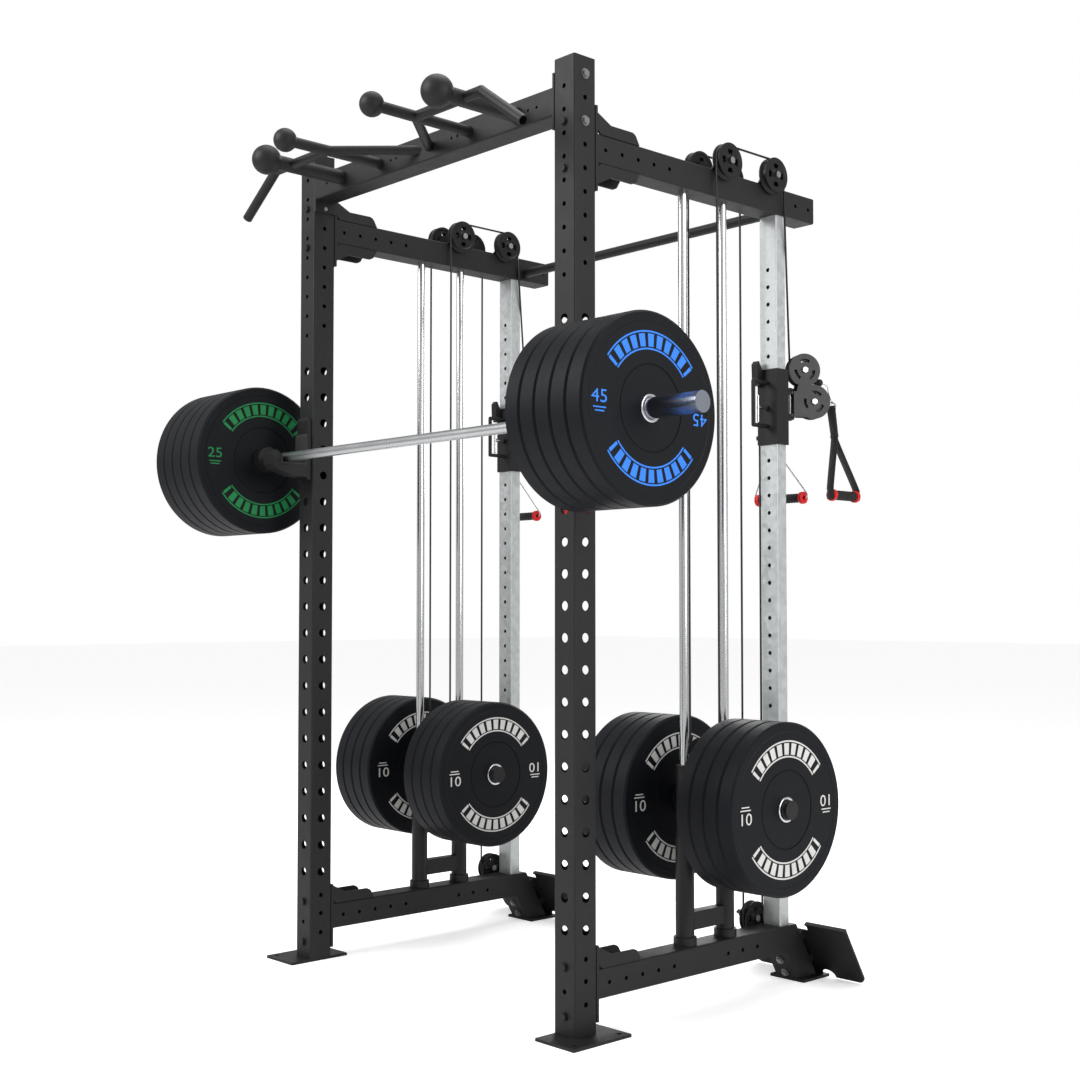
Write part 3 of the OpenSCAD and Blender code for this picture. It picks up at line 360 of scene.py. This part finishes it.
def sleeve_steel(name, base):
    """Bright sleeve with streaks along it and a dark collar at its inner end."""
    along = (0.05, 1, 1)
    s = Shade(name, base, 0.24, 1.0)
    s.tint(s.noise(8.0, 2.0, along), 0.06).polish(s.noise(16.0, 2.0, along), 0.04)
    s.bump(s.noise(50.0, 1.0, along), 0.00003, 0.15)
    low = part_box("bar_sleeve_right")[0].x
    collar = s.between("X", low - 0.001, low + 0.028)
    return s.patch(collar, (0.01, 0.01, 0.011), 0.4, 0.0).mat


def woven(name, base):
    """Webbing with its weave."""
    s = Shade(name, base, 0.85)
    s.bsdf.inputs["Sheen Weight"].default_value = 0.35
    s.tint(s.noise(120.0), 0.25)
    weave = s.math("MULTIPLY", s.wave(180.0, "X"), s.wave(150.0, "Z"))
    return s.bump(weave, 0.0006, 0.7).mat


def make_finishes(c):
    """Every finish by its short name; c holds the colour settings."""
    return {
        "powder": powder_coat("black_powder_coat", c.powder),
        "paint": powder_coat("black_paint", c.steel_paint, 0.45),
        "rubber": moulded("plate_rubber", c.rubber, 0.5, 380.0, 0.0004, 0.15),
        "axles": powder_coat("pulley_plate_paint", c.steel_paint, 0.45, axle_ends),
        "trolley": powder_coat("trolley_paint", c.steel_paint, 0.45, hinge_rods),
        "bolts": plated("frame_bolt_plating", (0.30, 0.30, 0.31), 0.3, c.steel_paint),
        "zinc": galvanised("galvanised_steel", c.zinc),
        "chrome": polished("chrome", (0.72, 0.73, 0.74), 0.16),
        "bright": polished("bright_zinc", (0.50, 0.50, 0.52), 0.28, (1, 1, 1), 20.0),
        "bar": knurled("knurled_bar", (0.50, 0.51, 0.52)),
        # sleeve steel: grey steel with a blue cast, and the blue cast is a painted reflection of the
        # blue plate print
        "sleeve": sleeve_steel("barbell_sleeve", (0.33, 0.36, 0.42)),
        "cable": moulded("cable_jacket", (0.016, 0.016, 0.017), 0.38, 900.0, 0.0002),
        "pulley": moulded("pulley_nylon", (0.006, 0.006, 0.0065), 0.4),
        "liner": moulded("liner_plastic", (0.022, 0.022, 0.022), 0.6, 300.0),
        "cheek": powder_coat("swivel_grey", c.cheek, 0.48, swivel_bolts),
        "web": woven("webbing", (0.010, 0.010, 0.011)),
        "foam": moulded("grip_rubber", (0.013, 0.013, 0.014), 0.72, 700.0, 0.0008),
        "red": moulded("red_cap", c.red, 0.35, 300.0, 0.0002),
        "blue": moulded("blue_print", c.blue, 0.5, 300.0, 0.0001),
        "green": moulded("green_print", c.green, 0.5, 300.0, 0.0001),
        "pale": moulded("pale_print", c.pale, 0.55, 300.0, 0.0001),
    }


FINISH = {}

# Longest matching start of a node's name decides its finish
NODE_FINISH = {
    "uprights": "powder", "pull_up_bar": "powder", "side_beams": "powder", "beam_brackets": "powder",
    "rear_cross_tube": "paint", "trolley_columns": "zinc", "guide_rods": "chrome",
    "carriage_posts": "paint", "rear_legs": "powder", "foot_plates": "powder",
    "pulley_mounts": "axles", "frame_bolts": "bolts", "j_cups": "paint", "j_cup_liners": "liner",
    "frame_cables": "cable", "carriage_plates": "rubber", "carriage_cable": "cable",
    "carriage": "paint", "trolley_pin": "chrome", "trolley_cable": "cable", "trolley": "trolley",
    "swivel": "cheek", "cable_end": "cable", "strap_webbing": "web", "strap_grip": "foam",
    "bail_handle": "bright", "bar_shaft": "bar", "bar_sleeve": "sleeve", "bar_plates": "rubber",
    "pulley": "pulley",
}


def node_finish(node):
    """The finish of a CAD node."""
    starts = [k for k in NODE_FINISH if node.startswith(k)]
    return FINISH[NODE_FINISH[max(starts, key=len)]]


# ---- Mesh helpers ----
def piece(name, verts, faces, finish, body, slot, smooth=True):
    """A new mesh that rides on a body, if one is given, and takes the named finish; the slot is not
    used.
    """
    mesh = bpy.data.meshes.new(name)
    mesh.from_pydata([tuple(v) for v in verts], [], faces)
    mesh.validate()
    mesh.polygons.foreach_set("use_smooth", [smooth] * len(mesh.polygons))
    mesh.materials.append(FINISH[finish])
    obj = bpy.data.objects.new(name, mesh)
    bpy.context.scene.collection.objects.link(obj)
    if body:
        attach(obj, body)
    return obj


def join(*parts):
    """One part of several, each a pair of points and faces."""
    verts, faces = [], []
    for v, f in parts:
        base = len(verts)
        verts += v
        faces += [tuple(i + base for i in q) for q in f]
    return verts, faces


def shifted(part, matrix):
    """A part whose points are moved by a matrix."""
    return [matrix @ Vector(v) for v in part[0]], part[1]


AXES = {
    "x": Matrix(((0, 0, 1), (1, 0, 0), (0, 1, 0))),
    "y": Matrix(((0, 1, 0), (0, 0, 1), (1, 0, 0))),
    "z": Matrix.Identity(3),
}


def around(radius, steps):
    """Points (x, y) in even steps round a circle."""
    return [(radius * math.cos(a), radius * math.sin(a))
            for a in (2 * math.pi * i / steps for i in range(steps))]


def lathe(profile, centre, axis, steps=48):
    """Closed outline of (radius, height) points turned round an axis through centre."""
    n = len(profile)
    turn = AXES[axis]
    verts = []
    for x, y in around(1.0, steps):
        verts += [turn @ Vector((r * x, r * y, h)) + Vector(centre) for r, h in profile]
    faces = []
    for i in range(steps):
        j = (i + 1) % steps
        faces += [(i * n + k, j * n + k, j * n + (k + 1) % n, i * n + (k + 1) % n) for k in range(n)]
    return verts, faces


def skin(rings, sides, closed=False):
    """Faces over rings of points that follow each other, with end caps on an open row."""
    faces = []
    for i in range(rings if closed else rings - 1):
        j = (i + 1) % rings
        faces += [(i * sides + k, i * sides + (k + 1) % sides, j * sides + (k + 1) % sides,
                   j * sides + k) for k in range(sides)]
    if not closed:
        faces.append(tuple(reversed(range(sides))))
        faces.append(tuple((rings - 1) * sides + k for k in range(sides)))
    return faces


def tube(points, radius, sides=14, closed=False):
    """Round wire through the points, with frames carried along so that it doesn't twist."""
    pts = [Vector(p) for p in points]
    verts = []
    side = None
    last = len(pts) - 1
    for i, p in enumerate(pts):
        if closed:
            ahead = (pts[(i + 1) % len(pts)] - pts[i - 1]).normalized()
        else:
            ahead = (pts[min(i + 1, last)] - pts[max(i - 1, 0)]).normalized()
        if side is None:
            side = ahead.orthogonal().normalized()
        side = (side - ahead * side.dot(ahead)).normalized()
        up = ahead.cross(side)
        verts += [p + (side * x + up * y) * radius for x, y in around(1.0, sides)]
    return verts, skin(len(pts), sides, closed)


def ribbon(points, width, thick):
    """Webbing of the given width along X that follows points in the Y-Z plane."""
    pts = [Vector(p) for p in points]
    w, h = width / 2, thick / 2
    edge = min(h * 0.8, 0.0010)
    section = [(-w, -h + edge), (-w + edge, -h), (w - edge, -h), (w, -h + edge),
               (w, h - edge), (w - edge, h), (-w + edge, h), (-w, h - edge)]
    verts = []
    for i, p in enumerate(pts):
        ahead = (pts[min(i + 1, len(pts) - 1)] - pts[max(i - 1, 0)]).normalized()
        out = Vector((1, 0, 0)).cross(ahead).normalized()
        verts += [p + Vector((a, 0, 0)) + out * b for a, b in section]
    return verts, skin(len(pts), len(section))


def curve_points(anchors, steps=8):
    """Smooth line through the anchors."""
    pts = [Vector(p) for p in anchors]
    pts = [2 * pts[0] - pts[1]] + pts + [2 * pts[-1] - pts[-2]]
    out = []
    for i in range(1, len(pts) - 2):
        a, b, c, d = pts[i - 1:i + 3]
        for k in range(steps):
            t = k / steps
            out.append(0.5 * (2 * b + (c - a) * t + (2 * a - 5 * b + 4 * c - d) * t * t
                              + (3 * b - a - 3 * c + d) * t ** 3))
    return out + [pts[-2]]


def middle(node):
    """Middle of a CAD node's box."""
    low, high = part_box(node)
    return (low + high) / 2


def strap_bar(name):
    """Middle of the ring's bar that carries a strap."""
    hinge = hinge_point(name)
    return Vector((hinge.x + STRAP_REACH * math.sin(HEAD_TURN),
                   hinge.y + STRAP_REACH * math.cos(HEAD_TURN),
                   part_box("strap_webbing_" + name)[1].z - STRAP_TOP))


# ---- Plates ----
def arc_band(r0, r1, centre_deg, sweep_deg, steps=36):
    """Flat band round the middle of a plate face, in the face's own plane."""
    verts = []
    for i in range(steps + 1):
        a = math.radians(centre_deg - sweep_deg / 2 + sweep_deg * i / steps)
        verts += [Vector((r * math.cos(a), r * math.sin(a), h))
                  for r, h in ((r0, 0.0), (r1, 0.0), (r1, PRINT), (r0, PRINT))]
    faces = []
    for i in range(steps):
        for k in range(4):
            m = (k + 1) % 4
            faces.append((i * 4 + k, (i + 1) * 4 + k, (i + 1) * 4 + m, i * 4 + m))
    faces += [(3, 2, 1, 0), tuple(steps * 4 + k for k in range(4))]
    return verts, faces


def digits(text, height):
    """Plain raised digits, centred on the origin."""
    data = bpy.data.curves.new("digits", "FONT")
    data.body = text
    data.align_x = "CENTER"
    data.align_y = "CENTER"
    data.size = height * 1.4
    data.extrude = PRINT / 2
    obj = bpy.data.objects.new("digits", data)
    bpy.context.scene.collection.objects.link(obj)
    bpy.context.view_layer.update()
    mesh = obj.evaluated_get(bpy.context.evaluated_depsgraph_get()).to_mesh()
    verts = [v.co.copy() + Vector((0, 0, PRINT / 2)) for v in mesh.vertices]
    faces = [tuple(p.vertices) for p in mesh.polygons]
    bpy.data.objects.remove(obj)
    bpy.data.curves.remove(data)
    return verts, faces


def face_matrix(x, y, z, way):
    """Places a face drawn in X-Y on a plate end that looks along X."""
    right, up, out = Vector((0, way, 0)), Vector((0, 0, 1)), Vector((way, 0, 0))
    return Matrix.Translation((x, y, z)) @ Matrix((right, up, out)).transposed().to_4x4()


def tick_band(sizes, centre_deg):
    """Two thin arcs with a row of plain blocks between them."""
    inner, outer = sizes.arc_in, sizes.arc_out
    line = (outer - inner) * LINE_SHARE
    room = (outer - inner) * BLOCK_SHARE
    parts = [arc_band(outer - line, outer, centre_deg, ARC_SWEEP),
             arc_band(inner, inner + line, centre_deg, ARC_SWEEP)]
    for k in range(-5, 6):
        sweep = 3.0 if abs(k) == 5 else 6.8
        parts.append(arc_band(inner + room, outer - room, centre_deg + k * BLOCK_STEP, sweep, 6))
    return parts


def bar_mark(wide, tall, at):
    """Small plain bar in a plate face's own plane."""
    x, y = at
    corners = [(x + i * wide / 2, y + j * tall / 2) for i, j in ((-1, -1), (1, -1), (1, 1), (-1, 1))]
    verts = [Vector((a, b, h)) for h in (0.0, PRINT) for a, b in corners]
    faces = [(3, 2, 1, 0), (4, 5, 6, 7)]
    faces += [(k, (k + 1) % 4, (k + 1) % 4 + 4, k + 4) for k in range(4)]
    return verts, faces


def weight_mark(number, up, height):
    """A weight number with two bars; up is 1 where the bars are below it, and else -1."""
    wide = Matrix.Translation((0, up * 0.012, 0)) @ Matrix.Diagonal((1.25, 1, 1, 1))
    return join(shifted(digits(number, height), wide), bar_mark(0.040, 0.003, (0, up * -0.012)),
                bar_mark(0.030, 0.003, (0, up * -0.020)))


def hub_ring(sizes):
    """Steel ring round a sleeve, with a rounded rim that stands out of the plate's middle."""
    r = sizes.sleeve / 2
    foot = -sizes.hub_recess - 0.001
    outline = [(r + 0.0005, foot), (r + 0.0005, 0.0002), (r + 0.0012, 0.0009),
               (sizes.hub - 0.0025, 0.0009), (sizes.hub - 0.0008, 0.0004), (sizes.hub, -0.0008),
               (sizes.hub, foot)]
    return lathe(outline, (0, 0, 0), "z", 64)


def dress_face(name, x, way, centre, number, finish, body, sizes, up, hub):
    """Plain print on one end face of a stack, and a steel ring where the hub shows."""
    place = face_matrix(x, centre.y, centre.z, way)
    parts = tick_band(sizes, 90) + tick_band(sizes, 270)
    block = weight_mark(number, up, sizes.digit)
    for half_turn in (0, math.pi):
        spin = Matrix.Rotation(half_turn, 4, "Z")
        parts.append(shifted(block, spin @ Matrix.Translation((-sizes.mark, 0, 0))))
    face = place @ Matrix.Translation((0, 0, -sizes.recess - SUNK))
    piece(name + "_print", *shifted(join(*parts), face), finish, body, "plate_rubber", False)
    if hub:
        piece(name + "_hub", *shifted(hub_ring(sizes), place), "chrome", body, "chrome")


class CAGE_OT_plates(bpy.types.Operator):
    """Print and hub rings on the end faces of every plate stack"""
    bl_idname = "cage.plates"
    bl_label = "Plate faces"

    def execute(self, context):
        sizes = context.scene.cage_sizes
        for name, s in SIDES:
            finish, number = ("blue", "45") if s > 0 else ("green", "25")
            node = "bar_plates_" + name
            low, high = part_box(node)
            for end, x, way in (("a", low.x, -1), ("b", high.x, 1)):
                dress_face(f"bar_plate_{name}_{end}", x, way, middle(node), number, finish,
                           "bar_end_" + name, sizes, 1, way == s)
            node = "carriage_plates_" + name
            low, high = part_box(node)
            faces = (("a", low.x, -1, True), ("b", low.x + sizes.stack, 1, False),
                     ("c", high.x - sizes.stack, -1, False), ("d", high.x, 1, True))
            for end, x, way, hub in faces:
                dress_face(f"carriage_plate_{name}_{end}", x, way, middle(node), "10", "pale",
                           "carriage_" + name, sizes, -1, hub)
        return {"FINISHED"}


# ---- Frame finishes ----
class CAGE_OT_finishes(bpy.types.Operator):
    """Give every metal, rubber and plastic node its finish"""
    bl_idname = "cage.finishes"
    bl_label = "Finishes"

    def execute(self, context):
        FINISH.update(make_finishes(context.scene.cage_colours))
        for node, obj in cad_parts.items():
            obj.data.materials.clear()
            obj.data.materials.append(node_finish(node))
        return {"FINISHED"}


class CAGE_OT_cables(bpy.types.Operator):
    """Cable runs of the carriages and trolleys"""
    bl_idname = "cage.cables"
    bl_label = "Cables"

    def run(self, name, node, body, start, end, part):
        obj = piece(name, *part, "cable", None, "cable")
        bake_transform(obj)
        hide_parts(node)

    def execute(self, context):
        r = context.scene.cage_sizes.cable / 2
        for name, _ in SIDES:
            node = "carriage_cable_" + name
            low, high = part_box(node)
            x, y = (low.x + high.x) / 2, (low.y + high.y) / 2
            rp = (high.x - low.x) / 2 - r
            foot = middle("pulley_carriage_" + name).z
            arc = [(x - rp * math.cos(a), y, foot - rp * math.sin(a))
                   for a in (math.pi * i / 24 for i in range(25))]
            line = [(x - rp, y, high.z)] + arc + [(x + rp, y, high.z)]
            self.run("carriage_cable_run_" + name, node, "carriage_" + name, (x, y, high.z),
                     (x, y, foot), tube(line, r))
            node = "trolley_cable_lower_" + name
            low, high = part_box(node)
            x, y = (low.x + high.x) / 2, (low.y + high.y) / 2
            self.run("trolley_lower_run_" + name, node, "trolley_" + name, (x, y, low.z),
                     (x, y, high.z), tube([(x, y, low.z), (x, y, high.z)], r))
            node = "trolley_cable_upper_" + name
            low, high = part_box(node)
            start = Vector((high.x - r, low.y + r, middle("pulley_outer_rear_" + name).z))
            end = Vector((low.x + r, high.y - r, middle("pulley_swivel_top_" + name).z))
            self.run("trolley_upper_run_" + name, node, "trolley_" + name, start, end,
                     tube([start, end], r))
        return {"FINISHED"}


def round_corners(loop, radius):
    """A closed line's corners, each drawn as a short curve of four points."""
    out = []
    for i, p in enumerate(loop):
        back = (loop[i - 1] - p).normalized() * radius
        on = (loop[(i + 1) % len(loop)] - p).normalized() * radius
        out += [p + back * (1 - t) ** 2 + on * t ** 2 for t in (0.0, 0.33, 0.67, 1.0)]
    return out


def stop_ball(centre, radius, cable):
    """Round stop with the neck where the cable enters it."""
    knob = [(radius * math.sin(a), -radius * math.cos(a))
            for a in (math.pi * (i + 0.5) / 20 for i in range(20))]
    ball = lathe([(0.0, -radius)] + knob + [(0.0, radius)], centre, "x", 40)
    bore = cable + 0.0002
    neck = [(bore, -radius - 0.004), (0.0060, -radius - 0.004), (0.0070, -radius + 0.002),
            (bore, -radius + 0.002)]
    return join(ball, lathe(neck, centre, "y", 28))


def strap_ring(bar, apex):
    """Line of the ring whose straight side carries a strap."""
    half, shoulder, tip = 0.0150, 0.0075, 0.0020
    corners = [(-half, 0), (half, 0), (half, shoulder), (tip, apex), (-tip, apex), (-half, shoulder)]
    return round_corners([bar + Vector((x, 0, z)) for x, z in corners], 0.0015)


class CAGE_OT_cable_ends(bpy.types.Operator):
    """Cable ends on the swivels: stop ball, snap link and strap ring"""
    bl_idname = "cage.cable_ends"
    bl_label = "Cable ends"

    def execute(self, context):
        sizes = context.scene.cage_sizes
        r = sizes.cable / 2
        w = sizes.wire / 2
        b = sizes.stop / 2
        apex = 0.015                # height of the strap ring's tip over its bar
        eye_r = 0.0045              # radius of the link's eye
        for name, _ in SIDES:
            body = "swivel_" + name
            hinge = hinge_point(name)
            head = head_frame(name)
            wheel = Vector((hinge.x, hinge.y + WHEEL_RUN, middle("pulley_swivel_top_" + name).z))
            ball = wheel + Vector(STOP_AT)
            reach = ball - wheel
            out = math.atan2(reach.z, reach.y) - math.acos(WHEEL_RUN / reach.length)
            sweep = [math.pi + (math.pi + out) * i / 24 for i in range(25)]
            line = [wheel + Vector((0, WHEEL_RUN * math.cos(a), WHEEL_RUN * math.sin(a)))
                    for a in sweep] + [ball]
            cable = piece("cable_end_run_" + name, *shifted(tube(line, r), head), "cable", body,
                          "cable")
            stop = piece("cable_stop_" + name, *shifted(stop_ball(ball, b, r), head), "foam", body,
                         "plastic")
            bar = strap_bar(name)
            eye = head.inverted() @ (bar + Vector((0, 0, apex)))
            bends = [wheel + Vector(bend) for bend in LINK_BENDS]
            wire = curve_points([ball + Vector((0, b - 0.003, -0.002)), *bends,
                                 eye + Vector((0, 0, eye_r))])
            turn = [eye + Vector((0, y, z)) for y, z in around(eye_r, 16)]
            link = shifted(join(tube(wire, w * 0.9, 10), tube(turn, w * 0.9, 8, True)), head)
            ring = tube(strap_ring(bar, apex), w, 10, True)
            steel = piece("snap_link_" + name, *join(link, ring), "bright", body, "zinc")
            for obj in (cable, stop, steel):
                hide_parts("cable_end_" + name)
        return {"FINISHED"}


# ---- Handles ----
def grip(centre, half, radius, axis):
    """Ribbed rubber sleeve with softly rounded ends."""
    ends = (radius * 0.45, radius * 0.9)
    plain = 0.003                   # length without ribs at each end
    outline = [(r, -half) for r in ends]
    for i in range(RIBS * 4 + 1):
        h = -half + plain + 2 * (half - plain) * i / (RIBS * 4)
        outline.append((radius - RIB_DEEP * (1 - math.cos(math.pi * i / 2)), h))
    outline += [(r, half) for r in reversed(ends)]
    return lathe(outline, centre, axis)


def cap(centre, radius, axis):
    """Rounded end ring of a hand grip."""
    h = CAP_T / 2
    e = 0.0025                      # size of the rounded edge
    side = [(radius * 0.35, h), (radius - e, h), (radius - e * 0.3, h - e * 0.3), (radius, h - e)]
    return lathe([(r, -z) for r, z in side] + side[::-1], centre, axis)


def strap_loop(top, neck, turn, t):
    """Webbing line from its crossing up round the ring's bar and down again."""
    over = [top + Vector((0, -turn * math.cos(a), turn * math.sin(a)))
            for a in (math.pi * i / 10 for i in range(11))]
    return [neck + Vector((0, -t * 0.6, 0)), top + Vector((0, -turn, -0.012)), *over,
            top + Vector((0, turn, -0.012)), neck + Vector((0, t * 0.6, 0))]


def strap_leg(neck, way, end_y, grip_at, t):
    """Webbing line from the crossing down past one end of the grip."""
    return curve_points([neck + Vector((0, way * t * 0.6, 0.006)),
                         neck + Vector((0, way * t * 0.7, -0.010)),
                         Vector((grip_at.x, end_y - way * 0.010 * (way + 1) / 2, grip_at.z + 0.032)),
                         Vector((grip_at.x, end_y, grip_at.z + 0.012)),
                         Vector((grip_at.x, end_y, grip_at.z - 0.013))])


class CAGE_OT_strap_handles(bpy.types.Operator):
    """Webbing handles with rubber grips and red end rings"""
    bl_idname = "cage.strap_handles"
    bl_label = "Strap handles"

    def execute(self, context):
        sizes = context.scene.cage_sizes
        t = sizes.web_t
        turn = sizes.wire / 2 + 0.0005 + t / 2
        for name, _ in SIDES:
            body = "strap_handle_" + name
            low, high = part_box("strap_grip_" + name)
            mid = (low + high) / 2
            ring = (high.z - low.z) / 2
            half = (high.y - low.y) / 2 - CAP_T
            rubber = piece("strap_grip_rubber_" + name, *grip(mid, half, ring - STRAP_RUBBER, "y"),
                           "foam", body, "grip")
            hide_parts("strap_grip_" + name)
            caps = [cap((mid.x, mid.y + w * (half + CAP_T / 2), mid.z), ring, "y") for w in (-1, 1)]
            piece("strap_caps_" + name, *join(*caps), "red", body, "grip")
            top = strap_bar(name)
            neck = Vector((mid.x, hinge_point(name).y + CROSSING[0], top.z + CROSSING[1]))
            lines = [strap_loop(top, neck, turn, t)]
            lines += [strap_leg(neck, w, mid.y + w * (half + CAP_T + t / 2), mid, t) for w in (-1, 1)]
            parts = [ribbon(line, sizes.web, t) for line in lines]
            web = piece("strap_web_" + name, *join(*parts), "web", body, "web")
            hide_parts("strap_webbing_" + name)
        return {"FINISHED"}


class CAGE_OT_wire_handles(bpy.types.Operator):
    """Wire handles with rubber grips and red end rings"""
    bl_idname = "cage.wire_handles"
    bl_label = "Wire handles"

    def execute(self, context):
        wire = context.scene.cage_sizes.wire / 2
        ring = 0.018                # radius of the red end rings
        eye_r = 0.0065              # outside radius of the eye on its pin
        reach = 0.080               # from the middle to an end ring
        eye_ring = [(0.00305, -0.0055), (eye_r, -0.0055), (eye_r, 0.0055), (0.00305, 0.0055)]
        for name, _ in SIDES:
            body = "bail_handle_" + name
            low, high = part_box(body)
            cx = (low.x + high.x) / 2
            span = (high.x - low.x) / 2 - wire
            grip_z = low.z + ring
            grip_y = high.y - ring
            eye = Vector((cx, low.y + eye_r, high.z - eye_r))
            sleeve = grip((cx, grip_y, grip_z), reach - CAP_T / 2, WIRE_RUBBER, "x")
            piece("wire_grip_" + name, *sleeve, "foam", body, "grip")
            caps = [cap((cx + w * reach, grip_y, grip_z), ring, "x") for w in (-1, 1)]
            piece("wire_caps_" + name, *join(*caps), "red", body, "grip")
            parts = [lathe(eye_ring, eye, "x")]
            for w in (-1, 1):
                bend = Vector((cx + w * span, grip_y, grip_z + 0.010))
                line = curve_points([eye + Vector((w * 0.002, 0.001, -0.005)),
                                     eye.lerp(bend, 0.35), eye.lerp(bend, 0.7), bend])
                line += [bend + Vector((-w * 0.001, 0, -0.006)),
                         Vector((cx + w * (span - 0.006), grip_y, grip_z)),
                         Vector((cx + w * (reach + 0.002), grip_y, grip_z))]
                parts.append(tube(line, wire, 10))
            bail = piece("wire_bail_" + name, *join(*parts), "bright", body, "wire")
            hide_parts("bail_handle_" + name)
        return {"FINISHED"}


# ---- Stage ----
LIGHTS = (                        # name, place, size, power
    ("key", (-1.8, -5.0, 4.4), 3.5, 260),
    ("fill", (5.2, 0.6, 2.6), 3.5, 120),
    ("top", (0.2, 0.2, 5.6), 4.0, 110),
    ("back", (-2.5, 4.4, 3.2), 3.0, 90),
)
LIGHT_TARGET = Vector((0, 0, 1.2))


def for_camera(tree, other, seen):
    """A shader that is seen by the camera alone; everything else gets the other one."""
    mix = add_node(tree, "MixShader")
    tree.links.new(add_node(tree, "LightPath").outputs["Is Camera Ray"], mix.inputs[0])
    tree.links.new(other.outputs[0], mix.inputs[1])
    tree.links.new(seen.outputs[0], mix.inputs[2])
    return mix


class CAGE_OT_stage(bpy.types.Operator):
    """Pale floor, soft lights and the camera"""
    bl_idname = "cage.stage"
    bl_label = "Stage"

    def light(self, name, place, size, power):
        data = bpy.data.lights.new(name, "AREA")
        data.shape = "DISK"
        data.size = size
        data.energy = power
        obj = bpy.data.objects.new(name, data)
        obj.location = place
        obj.rotation_euler = (LIGHT_TARGET - Vector(place)).to_track_quat("-Z", "Y").to_euler()
        bpy.context.scene.collection.objects.link(obj)

    def backdrop(self):
        world = bpy.data.worlds.new("studio")
        world.use_nodes = True
        bpy.context.scene.world = world
        tree = world.node_tree
        soft = tree.nodes["Background"]
        soft.inputs["Color"].default_value = (1, 1, 1, 1)
        soft.inputs["Strength"].default_value = 0.55
        white = add_node(tree, "Background", Color=(1, 1, 1, 1), Strength=1.0)
        mix = for_camera(tree, soft, white)
        tree.links.new(mix.outputs[0], tree.nodes["World Output"].inputs["Surface"])

    def floor(self):
        half = 40.0
        mesh = bpy.data.meshes.new("floor")
        mesh.from_pydata([(-half, -half, 0), (half, -half, 0), (half, half, 0), (-half, half, 0)], [],
                         [(0, 1, 2, 3)])
        mat = bpy.data.materials.new("pale_floor")
        mat.use_nodes = True
        tree = mat.node_tree
        bsdf = tree.nodes["Principled BSDF"]
        bsdf.inputs["Base Color"].default_value = (0.9, 0.9, 0.9, 1)
        bsdf.inputs["Roughness"].default_value = 0.9
        glow = for_camera(tree, add_node(tree, "Emission", Strength=0.0),
                          add_node(tree, "Emission", Strength=0.45))
        add = add_node(tree, "AddShader")
        tree.links.new(bsdf.outputs[0], add.inputs[0])
        tree.links.new(glow.outputs[0], add.inputs[1])
        tree.links.new(add.outputs[0], tree.nodes["Material Output"].inputs["Surface"])
        mesh.materials.append(mat)
        obj = bpy.data.objects.new("floor", mesh)
        bpy.context.scene.collection.objects.link(obj)

    def camera(self, scene):
        data = bpy.data.cameras.new("camera")
        data.lens = 50.0
        data.sensor_width = 36.0
        data.shift_x = -0.01304
        data.shift_y = 0.01109
        camera = bpy.data.objects.new("camera", data)
        camera.location = (3.2793, FRONT - 2.5683, 1.055)
        camera.rotation_euler = [math.radians(a) for a in (92.2091, 0.0147, 46.8927)]
        scene.collection.objects.link(camera)
        scene.camera = camera

    def execute(self, context):
        context.scene.view_settings.view_transform = "Standard"
        self.camera(context.scene)
        self.backdrop()
        self.floor()
        for row in LIGHTS:
            self.light(*row)
        return {"FINISHED"}


STEPS = (CAGE_OT_stage, CAGE_OT_finishes, CAGE_OT_cables, CAGE_OT_cable_ends, CAGE_OT_plates,
         CAGE_OT_strap_handles, CAGE_OT_wire_handles)


class CAGE_PT_panel(bpy.types.Panel):
    bl_idname = "CAGE_PT_panel"
    bl_label = "Power cage"
    bl_space_type = "VIEW_3D"
    bl_region_type = "UI"
    bl_category = "Power cage"

    def draw(self, context):
        for group in (context.scene.cage_colours, context.scene.cage_sizes):
            for key in group.bl_rna.properties.keys():
                if key not in {"rna_type", "name"}:
                    self.layout.prop(group, key)
        for step in STEPS:
            self.layout.operator(step.bl_idname)


CLASSES = (CageColours, CageSizes, *STEPS, CAGE_PT_panel)


def register():
    for cls in CLASSES:
        bpy.utils.register_class(cls)
    bpy.types.Scene.cage_colours = bpy.props.PointerProperty(type=CageColours)
    bpy.types.Scene.cage_sizes = bpy.props.PointerProperty(type=CageSizes)


def unregister():
    del bpy.types.Scene.cage_sizes
    del bpy.types.Scene.cage_colours
    for cls in reversed(CLASSES):
        bpy.utils.unregister_class(cls)


def main():
    register()
    bpy.ops.cage.stage()
    bpy.ops.cage.finishes()
    bpy.ops.cage.cables()
    bpy.ops.cage.cable_ends()
    bpy.ops.cage.plates()
    bpy.ops.cage.strap_handles()
    bpy.ops.cage.wire_handles()


if __name__ == "__main__":
    main()
